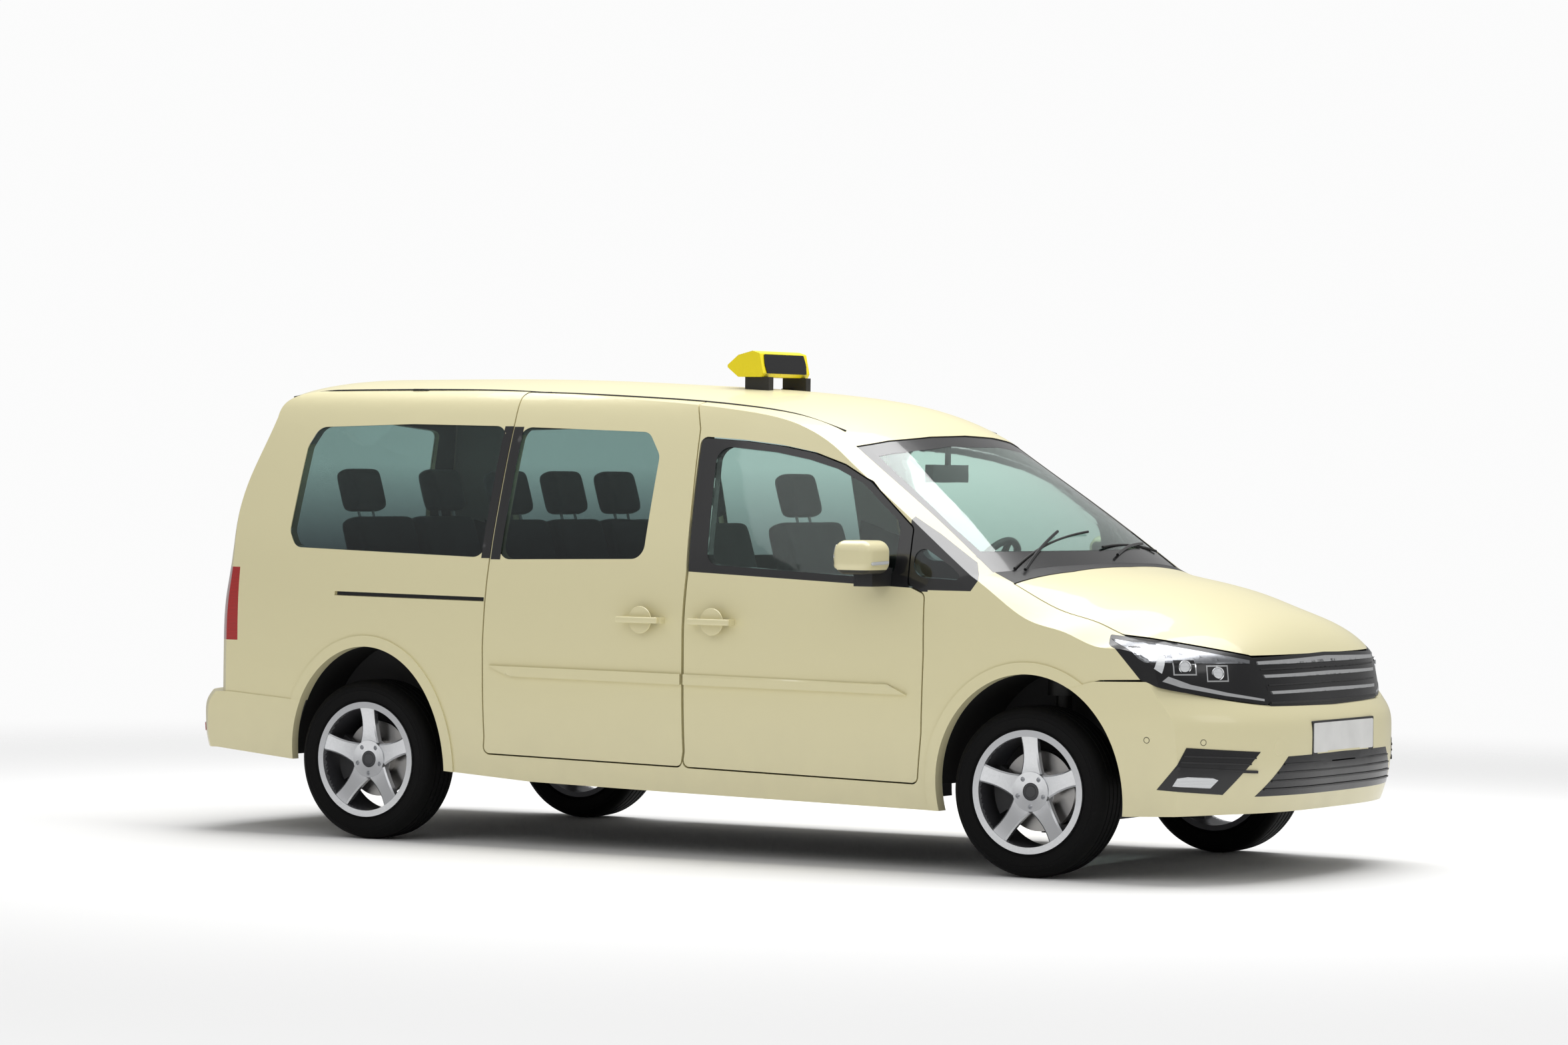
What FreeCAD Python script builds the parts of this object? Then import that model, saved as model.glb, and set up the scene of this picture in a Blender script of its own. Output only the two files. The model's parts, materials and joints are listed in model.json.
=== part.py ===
import FreeCAD, Part

import math
import os

Vec = FreeCAD.Vector

# Overall sizes, millimetres. X points forward, Y to the left, Z up from the road.
HALF_LENGTH = 2439.0
HALF_WIDTH = 890.0
HEIGHT = 1853.0
WHEELBASE = 3006.0
FRONT_AXLE_X = 1561.0
REAR_AXLE_X = FRONT_AXLE_X - WHEELBASE

# Working values for cuts and gaps
OVERRUN = 30.0
SHUT_GAP = 6.0
SEAM_GAP = 0.0
SOFT_GAP = 2.0

# Skin and panel thicknesses
SIDE_WALL = 46.0
ROOF_WALL = 24.0
GLASS_DEPTH = 4.0
GLASS_THICKNESS = 5.0
BUMPER_WALL = 40.0
BUMPER_PROUD = 5.0

# Plan curvature of the nose, the windscreen and the tail, at the full half width
NOSE_RECESS = 300.0
NOSE_POWER_SHARE = 3.4
SCREEN_RECESS = 170.0
SCREEN_POWER_SHARE = 2.2
TAIL_RECESS = 235.0
TAIL_POWER_SHARE = 4.5

# Fall of the upper surfaces from the centre line to the full half width
ROOF_CROWN = 120.0
SCREEN_BASE_CROWN = 40.0
BONNET_CROWN = 155.0
NOSE_CROWN = 40.0

# Half width of the body side, as shares of HEIGHT and of HALF_WIDTH
SIDE_SHARES = (
    (0.080, 0.940), (0.190, 0.979), (0.250, 0.991), (0.330, 0.999), (0.405, 1.000),
    (0.513, 0.997), (0.566, 0.987), (0.621, 0.968), (0.701, 0.924), (0.783, 0.872),
    (0.863, 0.816), (0.917, 0.771), (0.950, 0.730), (0.975, 0.660), (1.020, 0.500),
)
# Width of the body along its length, as shares of HALF_LENGTH and of the full width
TAPER_SHARES = ((-1.06, 0.940), (-0.80, 0.982), (-0.40, 1.000), (0.30, 1.000), (0.75, 0.985), (1.06, 0.935))

# Side view of the body on its centre line, as shares of HALF_LENGTH and of HEIGHT
TAIL_SHARES = (
    (-0.950, 0.080), (-0.964, 0.300), (-0.964, 0.400), (-0.960, 0.510), (-0.950, 0.580),
    (-0.935, 0.700), (-0.914, 0.790), (-0.872, 0.914), (-0.862, 0.947),
)
ROOF_SHARES = (
    (-0.862, 0.947), (-0.848, 0.976), (-0.815, 0.991), (-0.730, 0.998), (-0.514, 1.000),
    (-0.310, 0.996), (-0.176, 0.989), (0.000, 0.978), (0.110, 0.966), (0.210, 0.946), (0.275, 0.919),
    (0.3195, 0.8916),
)
SCREEN_SHARES = ((0.3195, 0.8916), (0.390, 0.8275), (0.466, 0.7580), (0.540, 0.6860), (0.604, 0.6206))
BONNET_SHARES = (
    (0.604, 0.6206), (0.660, 0.607), (0.735, 0.5926), (0.800, 0.573), (0.860, 0.546), (0.905, 0.5197),
    (0.940, 0.487), (0.964, 0.450),
)
NOSE_SHARES = ((0.964, 0.450), (0.972, 0.410), (0.978, 0.360), (0.976, 0.250), (0.955, 0.080))

# Side view of the two bumpers on the centre line
REAR_BUMPER_SHARES = (
    (-0.965, 0.100), (-0.985, 0.160), (-0.996, 0.200), (-1.000, 0.250), (-0.997, 0.285), (-0.985, 0.306),
    (-0.960, 0.345),
)
FRONT_BUMPER_SHARES = (
    (0.960, 0.400), (0.982, 0.354), (0.996, 0.325), (1.000, 0.270), (0.999, 0.220), (0.990, 0.165),
    (0.980, 0.130), (0.965, 0.100),
)


def along(shares):
    """Side view shares as lengths."""
    return [(x * HALF_LENGTH, z * HEIGHT) for x, z in shares]


def tail_recess(y):
    return TAIL_RECESS * (abs(y) / HALF_WIDTH) ** TAIL_POWER_SHARE


def screen_recess(y):
    return -SCREEN_RECESS * (abs(y) / HALF_WIDTH) ** SCREEN_POWER_SHARE


def nose_recess(y):
    return -NOSE_RECESS * (abs(y) / HALF_WIDTH) ** NOSE_POWER_SHARE


# Runs of the side view: points, how the two ends move back, and how far the run falls at full width
BODY_RUNS = (
    (TAIL_SHARES, (tail_recess, tail_recess), (0.0, 0.0, 0.0, ROOF_CROWN)),
    (ROOF_SHARES, (tail_recess, screen_recess), (ROOF_CROWN, ROOF_CROWN)),
    (SCREEN_SHARES, (screen_recess, screen_recess), (ROOF_CROWN, SCREEN_BASE_CROWN)),
    (BONNET_SHARES, (screen_recess, nose_recess), (SCREEN_BASE_CROWN, BONNET_CROWN, BONNET_CROWN, NOSE_CROWN)),
    (NOSE_SHARES, (nose_recess, nose_recess), (NOSE_CROWN, 0.0)),
)
BUMPER_RUNS = (
    (REAR_BUMPER_SHARES, (tail_recess, tail_recess), (0.0, 0.0)),
    ((REAR_BUMPER_SHARES[-1], FRONT_BUMPER_SHARES[0]), (tail_recess, nose_recess), (0.0, 0.0)),
    (FRONT_BUMPER_SHARES, (nose_recess, nose_recess), (0.0, 0.0)),
)


def graded(values, part_way):
    """Value part of the way along an evenly spaced table."""
    place = min(max(part_way, 0.0), 1.0) * (len(values) - 1)
    index = min(int(place), len(values) - 2)
    return values[index] + (values[index + 1] - values[index]) * (place - index)


def offset_points(points, inset, closed=False):
    """Move a line of points to its right by inset, with mitred corners."""
    moved = []
    count = len(points)
    for index, (x, z) in enumerate(points):
        if closed:
            before = points[index - 1]
            after = points[(index + 1) % count]
        else:
            before = points[max(index - 1, 0)]
            after = points[min(index + 1, count - 1)]
        normals = []
        for a, b in ((before, (x, z)), ((x, z), after)):
            run = math.hypot(b[0] - a[0], b[1] - a[1])
            if run > 0:
                normals.append(((b[1] - a[1]) / run, (a[0] - b[0]) / run))
        first = normals[0]
        second = normals[-1]
        scale = inset / (1 + first[0] * second[0] + first[1] * second[1])
        moved.append((x + scale * (first[0] + second[0]), z + scale * (first[1] + second[1])))
    return moved


def spline(points):
    curve = Part.BSplineCurve()
    curve.interpolate(points)
    return curve.toShape()


def profile_wire(runs, y, inset):
    """Side view of the body or of the bumpers at one distance from the centre line."""
    whole = []
    marks = [0]
    for shares, recesses, falls in runs:
        points = along(shares)
        steps = [0.0]
        for a, b in zip(points, points[1:]):
            steps.append(steps[-1] + math.hypot(b[0] - a[0], b[1] - a[1]))
        run = []
        for (x, z), step in zip(points, steps):
            part_way = step / steps[-1]
            dx = graded([recess(y) for recess in recesses], part_way)
            dz = graded(falls, part_way) * (y / HALF_WIDTH) ** 2
            run.append((x + dx, z - dz))
        if whole:
            run = run[1:]
        whole.extend(run)
        marks.append(len(whole) - 1)
    whole = offset_points(whole, inset)
    edges = []
    for start, end in zip(marks, marks[1:]):
        edges.append(spline([Vec(x, y, z) for x, z in whole[start:end + 1]]))
    rear = whole[0]
    front = whole[-1]
    edges.append(Part.makeLine(Vec(front[0], y, front[1]), Vec(rear[0], y, rear[1])))
    return Part.Wire(edges)


PROFILE_STATION_SHARES = (-1.08, -0.94, -0.80, -0.60, -0.30, 0.0, 0.30, 0.60, 0.80, 0.94, 1.08)


def top_form(runs, inset):
    """Roof, windscreen, bonnet, nose and tail as one solid wider than the body."""
    wires = [profile_wire(runs, share * HALF_WIDTH, inset) for share in PROFILE_STATION_SHARES]
    return Part.makeLoft(wires, True, False)


def side_wire(x, width_share, inset):
    """Cross-section of the body sides at one place along the length."""
    points = [(w * HALF_WIDTH * width_share, z * HEIGHT) for z, w in SIDE_SHARES]
    moved = offset_points(points, -inset)
    right = [Vec(x, -w, z) for w, z in moved]
    left = [Vec(x, w, z) for w, z in moved]
    left.reverse()
    over = Part.makeLine(right[-1], left[0])
    under = Part.makeLine(left[-1], right[0])
    return Part.Wire([spline(right), over, spline(left), under])


def side_form(inset):
    wires = [side_wire(x * HALF_LENGTH, width, inset) for x, width in TAPER_SHARES]
    return Part.makeLoft(wires, True, False)


def body_form(side_inset, top_inset):
    return side_form(side_inset).common(top_form(BODY_RUNS, top_inset))


def bumper_form(inset):
    return side_form(inset - BUMPER_PROUD).common(top_form(BUMPER_RUNS, inset))


# Shut lines and openings of the right side, seen square to the side, shares of HALF_LENGTH and HEIGHT
FRONT_DOOR_SHARES = (
    (0.4475, 0.1790), (0.4570, 0.2800), (0.4605, 0.4420), (0.4590, 0.5600), (0.4290, 0.5760), (0.4270, 0.6930),
    (0.3400, 0.7840), (0.2880, 0.8180), (0.2300, 0.8415), (0.1660, 0.8560), (0.0930, 0.8660), (0.0165, 0.8720),
    (0.0225, 0.7500), (0.0318, 0.5940), (0.0292, 0.4750), (0.0296, 0.3880), (0.0300, 0.2210), (0.0250, 0.1900),
)
FRONT_GLASS_SHARES = (
    (0.4050, 0.5890), (0.4050, 0.7020), (0.3250, 0.7830), (0.2750, 0.8110), (0.2220, 0.8290), (0.1600, 0.8430),
    (0.0480, 0.8560), (0.0640, 0.6100),
)
SLIDING_DOOR_SHARES = (
    (0.0205, 0.1900), (0.0255, 0.2210), (0.0247, 0.3880), (0.0245, 0.4750), (0.0270, 0.5940), (0.0175, 0.7500),
    (0.0080, 0.8900), (-0.0120, 0.9560), (-0.3500, 0.9660), (-0.3475, 0.9000), (-0.3480, 0.6030), (-0.3535, 0.4250),
    (-0.3515, 0.2320), (-0.3545, 0.1985),
)
SLIDING_GLASS_SHARES = (
    (-0.0560, 0.6180), (-0.0570, 0.8340), (-0.0850, 0.8830), (-0.3340, 0.8920), (-0.3340, 0.6100),
)
QUARTER_GLASS_SHARES = (
    (-0.3600, 0.6130), (-0.3600, 0.8930), (-0.5500, 0.8960), (-0.7390, 0.8880), (-0.7560, 0.8440),
    (-0.7600, 0.6600), (-0.7440, 0.6260),
)
SLIDING_MOULDING_SHARES = ((-0.3400, 0.3850), (0.0250, 0.3820), (0.0250, 0.3600), (-0.3000, 0.3640))
FRONT_MOULDING_SHARES = ((0.0310, 0.3820), (0.4000, 0.3770), (0.4340, 0.3570), (0.0310, 0.3600))
RAIL_SLOT_SHARES = ((-0.6530, 0.5240), (-0.6530, 0.5330), (-0.3540, 0.5290), (-0.3540, 0.5200))
CORNER_GLASS_SHARES = ((0.4370, 0.5950), (0.5300, 0.5900), (0.5020, 0.6180), (0.4370, 0.6660))
WING_REAR_SHARES = (
    (0.4625, 0.0500), (0.4645, 0.2800), (0.4680, 0.4420), (0.4655, 0.5690), (0.5400, 0.5690), (0.5540, 0.5950),
    (0.5700, 0.7000), (1.0500, 0.7000), (1.0500, 0.0500),
)
SILL_SHARES = (
    (-1.0500, 0.1700), (-0.4350, 0.1555), (-0.2670, 0.1415), (0.0, 0.1345), (0.4800, 0.1246), (1.0500, 0.1300),
    (1.0500, 0.0300), (-1.0500, 0.0300),
)
FRONT_BUMPER_REGION_SHARES = (
    (0.7000, 0.3785), (0.7640, 0.4005), (0.8450, 0.4045), (0.8630, 0.3880), (0.9300, 0.3640), (0.9680, 0.3500),
    (1.0500, 0.3500), (1.0500, 0.1400), (0.9340, 0.1390), (0.8040, 0.1320), (0.7000, 0.1320),
)
REAR_BUMPER_REGION_SHARES = (
    (-1.0500, 0.3065), (-0.8640, 0.3065), (-0.7300, 0.2950), (-0.7000, 0.2900), (-0.7000, 0.1630),
    (-0.7240, 0.1630), (-0.9000, 0.1830), (-1.0500, 0.1830),
)
WINDOW_CORNER = 55.0
LAMP_CORNER = 12.0
GLASS_EDGE = 0.0
CUT_INNER = 592.0
DOOR_CORNER = 24.0

# Wheel arches
REAR_ARCH_X = -1433.0
ARCH_Z = 318.0
REAR_ARCH_LENGTH = 375.0
REAR_ARCH_RISE = 452.0
FRONT_ARCH_X = 1563.0
FRONT_ARCH_LENGTH = 387.0
FRONT_ARCH_RISE = 436.0
ARCH_BAND = 44.0
ARCH_PROUD = 7.0
ARCH_DEPTH = 420.0

# Wheels
TYRE_RADIUS = 318.4
TYRE_WIDTH = 205.0
RIM_RADIUS = 229.5
RIM_SEAT_RADIUS = 216.0
RIM_WALL = 7.0
RIM_INSIDE_RADIUS = 205.0
TYRE_CORNER = 34.0
TRACK_HALF = 772.0
HUB_BORE_RADIUS = 33.3
HUB_FACE_RADIUS = 74.0
SPOKE_COUNT = 5
SPOKE_ROOT = 88.0
SPOKE_TIP = 58.0
SPOKE_DEPTH = 34.0
SPOKE_DISH = 22.0
LUG_CIRCLE_RADIUS = 56.0
LUG_RADIUS = 9.0
LUG_SEAT_DEPTH = 16.0
DISC_RADIUS = 150.0
DISC_THICKNESS = 24.0
DISC_HAT_RADIUS = 82.0
RUN_GAP = 0.05

# Steering and suspension
KINGPIN_Y = 655.0
HUB_RADIUS = 62.0
HUB_LENGTH = 70.0
KNUCKLE_THICKNESS = 34.0
KNUCKLE_WIDTH = 96.0
KNUCKLE_HIGH = 150.0
KNUCKLE_LOW = 118.0
CALIPER_WIDTH = 66.0
CALIPER_SPAN_DEG = 62.0
ARM_THICKNESS = 30.0
STRUT_RADIUS = 30.0
SPRING_RADIUS = 62.0
AXLE_TUBE_RADIUS = 38.0
BEAM_DEPTH = 70.0

# Floor and engine
FLOOR_TOP_Z = 470.0
FLOOR_THICKNESS = 22.0
FLOOR_HALF_WIDTH = 800.0
RAIL_Y = 470.0
RAIL_WIDTH = 70.0
RAIL_DEPTH = 110.0
HOUSING_WALL = 6.0
HOUSING_INNER_Y = 590.0
FRONT_HOUSING_INNER_Y = 500.0
FRONT_HOUSING_RADIUS = 372.0
REAR_HOUSING_RADIUS = 366.0
BULKHEAD_X = 1262.0
BULKHEAD_THICKNESS = 24.0

# Seats and driver's place
SEAT_Y = 372.0
SEAT_WIDTH = 510.0
SEAT_DEPTH = 500.0
CUSHION_THICKNESS = 130.0
CUSHION_TOP_Z = 790.0
BACK_HEIGHT = 600.0
BACK_THICKNESS = 120.0
BACK_LEAN_DEG = 16.0
FRONT_SEAT_X = 70.0
SECOND_SEAT_X = -830.0
THIRD_SEAT_X = -1640.0
BENCH_WIDTH = 1180.0
HEADREST_WIDTH = 250.0
HEADREST_HEIGHT = 190.0
HEADREST_THICKNESS = 90.0
SOFT_CORNER = 36.0
STEERING_X = 715.0
STEERING_Z = 1070.0
STEERING_RADIUS = 187.0
STEERING_GRIP = 15.0
COLUMN_DEG = 28.0
COLUMN_RADIUS = 30.0
COLUMN_LENGTH = 330.0

# Door mirrors
MIRROR_Y = 1120.0
MIRROR_ROOT_Y = 925.0
MIRROR_X = 935.0
MIRROR_DEPTH = 160.0
MIRROR_LOW_Z = 1112.0
MIRROR_HIGH_Z = 1238.0
MIRROR_CORNER = 44.0

# Roof sign
SIGN_X = -20.0
SIGN_HALF_WIDTH = 180.0
SIGN_LOW_Z = 1862.0
SIGN_HIGH_Z = 1966.0
SIGN_DEPTH = 165.0
SIGN_PANEL = 6.0
SIGN_POST_WIDTH = 36.0
SIGN_POST_LENGTH = 110.0

# Trim on the side of the body
MOULDING_PROUD = 7.0
RAIL_SLOT_DEPTH = 12.0
HANDLE_LENGTH = 190.0
HANDLE_HEIGHT = 24.0
HANDLE_Z = 912.0
HANDLE_PROUD = 30.0
HANDLE_BAR = 12.0
SLIDING_HANDLE_X = -113.0
FRONT_HANDLE_X = 205.0

# Windscreen outline from the front, tailgate outline from behind, as shares of HALF_WIDTH and HEIGHT
SCREEN_OUTLINE_SHARES = ((0.0, 0.6225), (0.45, 0.6175), (0.856, 0.6060), (0.735, 0.858), (0.55, 0.8705), (0.28, 0.8800), (0.0, 0.8835))
TAILGATE_OUTLINE_SHARES = (
    (0.0, 0.308), (0.800, 0.308), (0.860, 0.335), (0.875, 0.420), (0.868, 0.590), (0.800, 0.760), (0.705, 0.880),
    (0.676, 0.915), (0.672, 0.950), (0.668, 1.060), (0.0, 1.060),
)
REAR_GLASS_SHARES = ((0.0, 0.600), (0.760, 0.604), (0.700, 0.760), (0.610, 0.885), (0.0, 0.910))
TAIL_LAMP_SHARES = ((0.885, 0.420), (1.1, 0.420), (1.1, 0.580), (0.882, 0.580))
TAIL_LAMP_FRONT = -2085.0
ROOF_SIDE = 592.0
TAILGATE_TOP_X = -2035.0
ROOF_REAR = TAILGATE_TOP_X + SHUT_GAP
ROOF_FRONT = 628.0

# Bonnet edges from above
BONNET_REAR_HALF = 752.0
BONNET_FRONT_HALF = 772.0
BONNET_REAR_MIDDLE_X = 1532.0
BONNET_REAR_CORNER_X = 1440.0
BONNET_NOSE_X = 2150.0

# Front lamps, seen along a line turned out from the forward direction
LAMP_TURN_DEG = 40.0
LAMP_SHARES = (
    (0.560, 0.869), (0.590, 0.908), (0.7135, 0.893), (1.073, 0.832), (1.100, 0.822), (1.151, 0.701),
    (1.155, 0.652), (0.946, 0.678), (0.734, 0.711), (0.685, 0.722), (0.635, 0.748),
)
LAMP_SCALE = 1000.0
LAMP_DEPTH = 150.0

GRILLE_SHARES = ((0.0, 0.346), (0.522, 0.350), (0.526, 0.385), (0.590, 0.446), (0.0, 0.452))


def mirrored(shape):
    return shape.mirror(Vec(0, 0, 0), Vec(0, 1, 0))


def fuse_all(shapes):
    first = shapes[0]
    if len(shapes) == 1:
        return first
    return first.multiFuse(shapes[1:])


def both(shape):
    """The right-hand solids with their left-hand twins, kept apart."""
    return Part.makeCompound(list(shape.Solids) + list(mirrored(shape).Solids))


def box(x0, x1, y0, y1, z0, z1):
    return Part.makeBox(x1 - x0, y1 - y0, z1 - z0, Vec(x0, y0, z0))


def rounded_wire(points, radius, place):
    """Closed outline with each corner rounded; place turns (u, v) into a point."""
    count = len(points)
    edges = []
    tangents = []
    for index, corner in enumerate(points):
        before = points[index - 1]
        after = points[(index + 1) % count]
        back = (before[0] - corner[0], before[1] - corner[1])
        ahead = (after[0] - corner[0], after[1] - corner[1])
        back_run = math.hypot(*back)
        ahead_run = math.hypot(*ahead)
        cosine = (back[0] * ahead[0] + back[1] * ahead[1]) / (back_run * ahead_run)
        half = math.acos(max(-1.0, min(1.0, cosine))) / 2
        reach = min(radius / math.tan(half), back_run / 2.01, ahead_run / 2.01)
        arc_radius = reach * math.tan(half)
        start = (corner[0] + back[0] / back_run * reach, corner[1] + back[1] / back_run * reach)
        end = (corner[0] + ahead[0] / ahead_run * reach, corner[1] + ahead[1] / ahead_run * reach)
        middle = ((back[0] / back_run + ahead[0] / ahead_run), (back[1] / back_run + ahead[1] / ahead_run))
        size = math.hypot(*middle)
        if size < 0.02 or radius == 0:
            tangents.append((corner, None, corner))
            continue
        far = arc_radius / math.sin(half) - arc_radius
        via = (corner[0] + middle[0] / size * far, corner[1] + middle[1] / size * far)
        tangents.append((start, via, end))
    for index, (start, via, end) in enumerate(tangents):
        following = tangents[(index + 1) % count][0]
        if via is not None:
            edges.append(Part.Arc(place(*start), place(*via), place(*end)).toShape())
        edges.append(Part.makeLine(place(*end), place(*following)))
    return Part.Wire(edges)


def side_prism(points, radius=0.0, inner=0.0):
    """Solid with a side-view outline, on the right of the plane y = -inner."""
    outer_y = -(HALF_WIDTH + 2 * OVERRUN)
    wire = rounded_wire(points, radius, lambda x, z: Vec(x, outer_y, z))
    return Part.Face(wire).extrude(Vec(0, -outer_y - inner, 0))


def end_prism(points, radius, x0, x1):
    """Solid with an outline seen along X, between x0 and x1."""
    wire = rounded_wire(points, radius, lambda y, z: Vec(x0, y, z))
    return Part.Face(wire).extrude(Vec(x1 - x0, 0, 0))


def plan_prism(points, radius, z0, z1):
    wire = rounded_wire(points, radius, lambda x, y: Vec(x, y, z0))
    return Part.Face(wire).extrude(Vec(0, 0, z1 - z0))


def grown(points, gap):
    """Outline moved outwards by gap, whichever way round it runs."""
    area = 0.0
    for (x0, z0), (x1, z1) in zip(points, points[1:] + points[:1]):
        area += x0 * z1 - x1 * z0
    if area > 0:
        return offset_points(points, gap, True)
    return offset_points(points, -gap, True)


def end_outline(shares):
    """Both halves of an outline given by its right half, seen along X."""
    half = [(w * HALF_WIDTH, z * HEIGHT) for w, z in shares]
    left = list(half)
    right = [(-w, z) for w, z in reversed(half) if w > 0]
    return left + right


def ellipse_prism(x, length, rise, depth):
    """Wheel arch cut from the outside of the right wall inwards."""
    start = Vec(x, -(HALF_WIDTH + 2 * OVERRUN), ARCH_Z)
    if rise >= length:
        ellipse = Part.Ellipse(start + Vec(0, 0, rise), start + Vec(length, 0, 0), start)
    else:
        ellipse = Part.Ellipse(start + Vec(length, 0, 0), start + Vec(0, 0, rise), start)
    face = Part.Face(Part.Wire(ellipse.toShape()))
    return face.extrude(Vec(0, depth, 0))


OUTER = body_form(0.0, 0.0)
INNER = body_form(SIDE_WALL, ROOF_WALL)
GLASS_OUTER = body_form(GLASS_DEPTH, GLASS_DEPTH)
GLASS_INNER = body_form(GLASS_DEPTH + GLASS_THICKNESS, GLASS_DEPTH + GLASS_THICKNESS)
RIGHT_HALF = box(-HALF_LENGTH - OVERRUN, HALF_LENGTH + OVERRUN, -HALF_WIDTH - 2 * OVERRUN, 0.0, 0.0, 1.2 * HEIGHT)
SHELL = OUTER.cut(INNER)
RIGHT_SHELL = SHELL.common(RIGHT_HALF)
GLASS_SHELL = GLASS_OUTER.cut(GLASS_INNER)
RIGHT_GLASS = GLASS_SHELL.common(RIGHT_HALF)

FRONT_DOOR = along(FRONT_DOOR_SHARES)
SLIDING_DOOR = along(SLIDING_DOOR_SHARES)
FRONT_GLASS = along(FRONT_GLASS_SHARES)
SLIDING_GLASS = along(SLIDING_GLASS_SHARES)
QUARTER_GLASS = along(QUARTER_GLASS_SHARES)
CORNER_GLASS = along(CORNER_GLASS_SHARES)

NODES = {}


def window_cut(outline):
    return side_prism(outline, WINDOW_CORNER, CUT_INNER)


def shut_outline(outline):
    """Opening that surrounds a door outline with the shut gap."""
    return side_prism(grown(outline, SHUT_GAP), DOOR_CORNER + SHUT_GAP, CUT_INNER)


def pane(outline):
    """Glass that fills a window outline, held a little inside its edges."""
    return RIGHT_GLASS.common(side_prism(grown(outline, -GLASS_EDGE), WINDOW_CORNER - GLASS_EDGE, CUT_INNER))


# Regions of the shell
LAMP_AXIS = Vec(math.cos(math.radians(LAMP_TURN_DEG)), -math.sin(math.radians(LAMP_TURN_DEG)), 0)
LAMP_ACROSS = Vec(math.sin(math.radians(LAMP_TURN_DEG)), math.cos(math.radians(LAMP_TURN_DEG)), 0)


def lamp_prism(shares, gap, near, far):
    """Solid with an outline seen along the lamp axis."""
    points = grown([(t * LAMP_SCALE, z * LAMP_SCALE) for t, z in shares], gap)

    def place(t, z):
        return LAMP_ACROSS * t + Vec(0, 0, z) + LAMP_AXIS * near

    wire = rounded_wire(points, LAMP_CORNER, place)
    return Part.Face(wire).extrude(LAMP_AXIS * (far - near))


bonnet_outline = [
    (BONNET_REAR_MIDDLE_X, 0.0),
    (BONNET_REAR_MIDDLE_X - 0.30 * (BONNET_REAR_MIDDLE_X - BONNET_REAR_CORNER_X), -0.55 * BONNET_REAR_HALF),
    (BONNET_REAR_CORNER_X, -BONNET_REAR_HALF),
    (BONNET_NOSE_X, -BONNET_FRONT_HALF),
    (HALF_LENGTH + OVERRUN, -BONNET_FRONT_HALF),
    (HALF_LENGTH + OVERRUN, BONNET_FRONT_HALF),
    (BONNET_NOSE_X, BONNET_FRONT_HALF),
    (BONNET_REAR_CORNER_X, BONNET_REAR_HALF),
    (BONNET_REAR_MIDDLE_X - 0.30 * (BONNET_REAR_MIDDLE_X - BONNET_REAR_CORNER_X), 0.55 * BONNET_REAR_HALF),
]
BONNET_LOW_Z = 0.4505 * HEIGHT
bonnet_prism = plan_prism(bonnet_outline, 0.0, BONNET_LOW_Z, HEIGHT)
bonnet_opening = plan_prism(grown(bonnet_outline, SHUT_GAP), 0.0, BONNET_LOW_Z - SHUT_GAP, HEIGHT)

roof_outline = [(ROOF_REAR, -ROOF_SIDE), (ROOF_REAR, ROOF_SIDE), (ROOF_FRONT, ROOF_SIDE),
                (HALF_LENGTH * 0.40, 0.0), (ROOF_FRONT, -ROOF_SIDE)]
roof_prism = plan_prism(roof_outline, 0.0, 0.8 * HEIGHT, 1.2 * HEIGHT)
roof_opening = plan_prism(grown(roof_outline, SEAM_GAP), 0.0, 0.8 * HEIGHT, 1.2 * HEIGHT)
roof_rear_strip = box(-HALF_LENGTH, ROOF_REAR, -ROOF_SIDE, ROOF_SIDE, 0.94 * HEIGHT, 1.2 * HEIGHT)

screen_outline = end_outline(SCREEN_OUTLINE_SHARES)
SCREEN_REAR_X = 0.2 * HALF_LENGTH
screen_prism = end_prism(screen_outline, 0.0, SCREEN_REAR_X, HALF_LENGTH)
screen_opening = end_prism(grown(screen_outline, SEAM_GAP), 0.0, SCREEN_REAR_X, HALF_LENGTH)

tailgate_outline = end_outline(TAILGATE_OUTLINE_SHARES)
tailgate_prism = end_prism(tailgate_outline, 0.0, -HALF_LENGTH, TAILGATE_TOP_X)
tailgate_opening = end_prism(grown(tailgate_outline, SHUT_GAP), 0.0, -HALF_LENGTH - OVERRUN, TAILGATE_TOP_X + SHUT_GAP)
rear_glass_outline = end_outline(REAR_GLASS_SHARES)

tail_lamp_outline = [(-w * HALF_WIDTH, z * HEIGHT) for w, z in TAIL_LAMP_SHARES]
tail_lamp_prism = end_prism(tail_lamp_outline, 0.0, -HALF_LENGTH, TAIL_LAMP_FRONT)
tail_lamp_opening = end_prism(grown(tail_lamp_outline, SEAM_GAP), 0.0, -HALF_LENGTH - OVERRUN,
                              TAIL_LAMP_FRONT + SEAM_GAP)

grille_outline = end_outline(GRILLE_SHARES)
grille_prism = end_prism(grille_outline, 0.0, 0.8 * HALF_LENGTH, HALF_LENGTH)
grille_opening = end_prism(grown(grille_outline, SEAM_GAP), 0.0, 0.8 * HALF_LENGTH, HALF_LENGTH + OVERRUN)

front_arch = ellipse_prism(FRONT_ARCH_X, FRONT_ARCH_LENGTH, FRONT_ARCH_RISE, ARCH_DEPTH)
rear_arch = ellipse_prism(REAR_ARCH_X, REAR_ARCH_LENGTH, REAR_ARCH_RISE, ARCH_DEPTH)
under_sill = side_prism(along(SILL_SHARES), 0.0, CUT_INNER)

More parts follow.
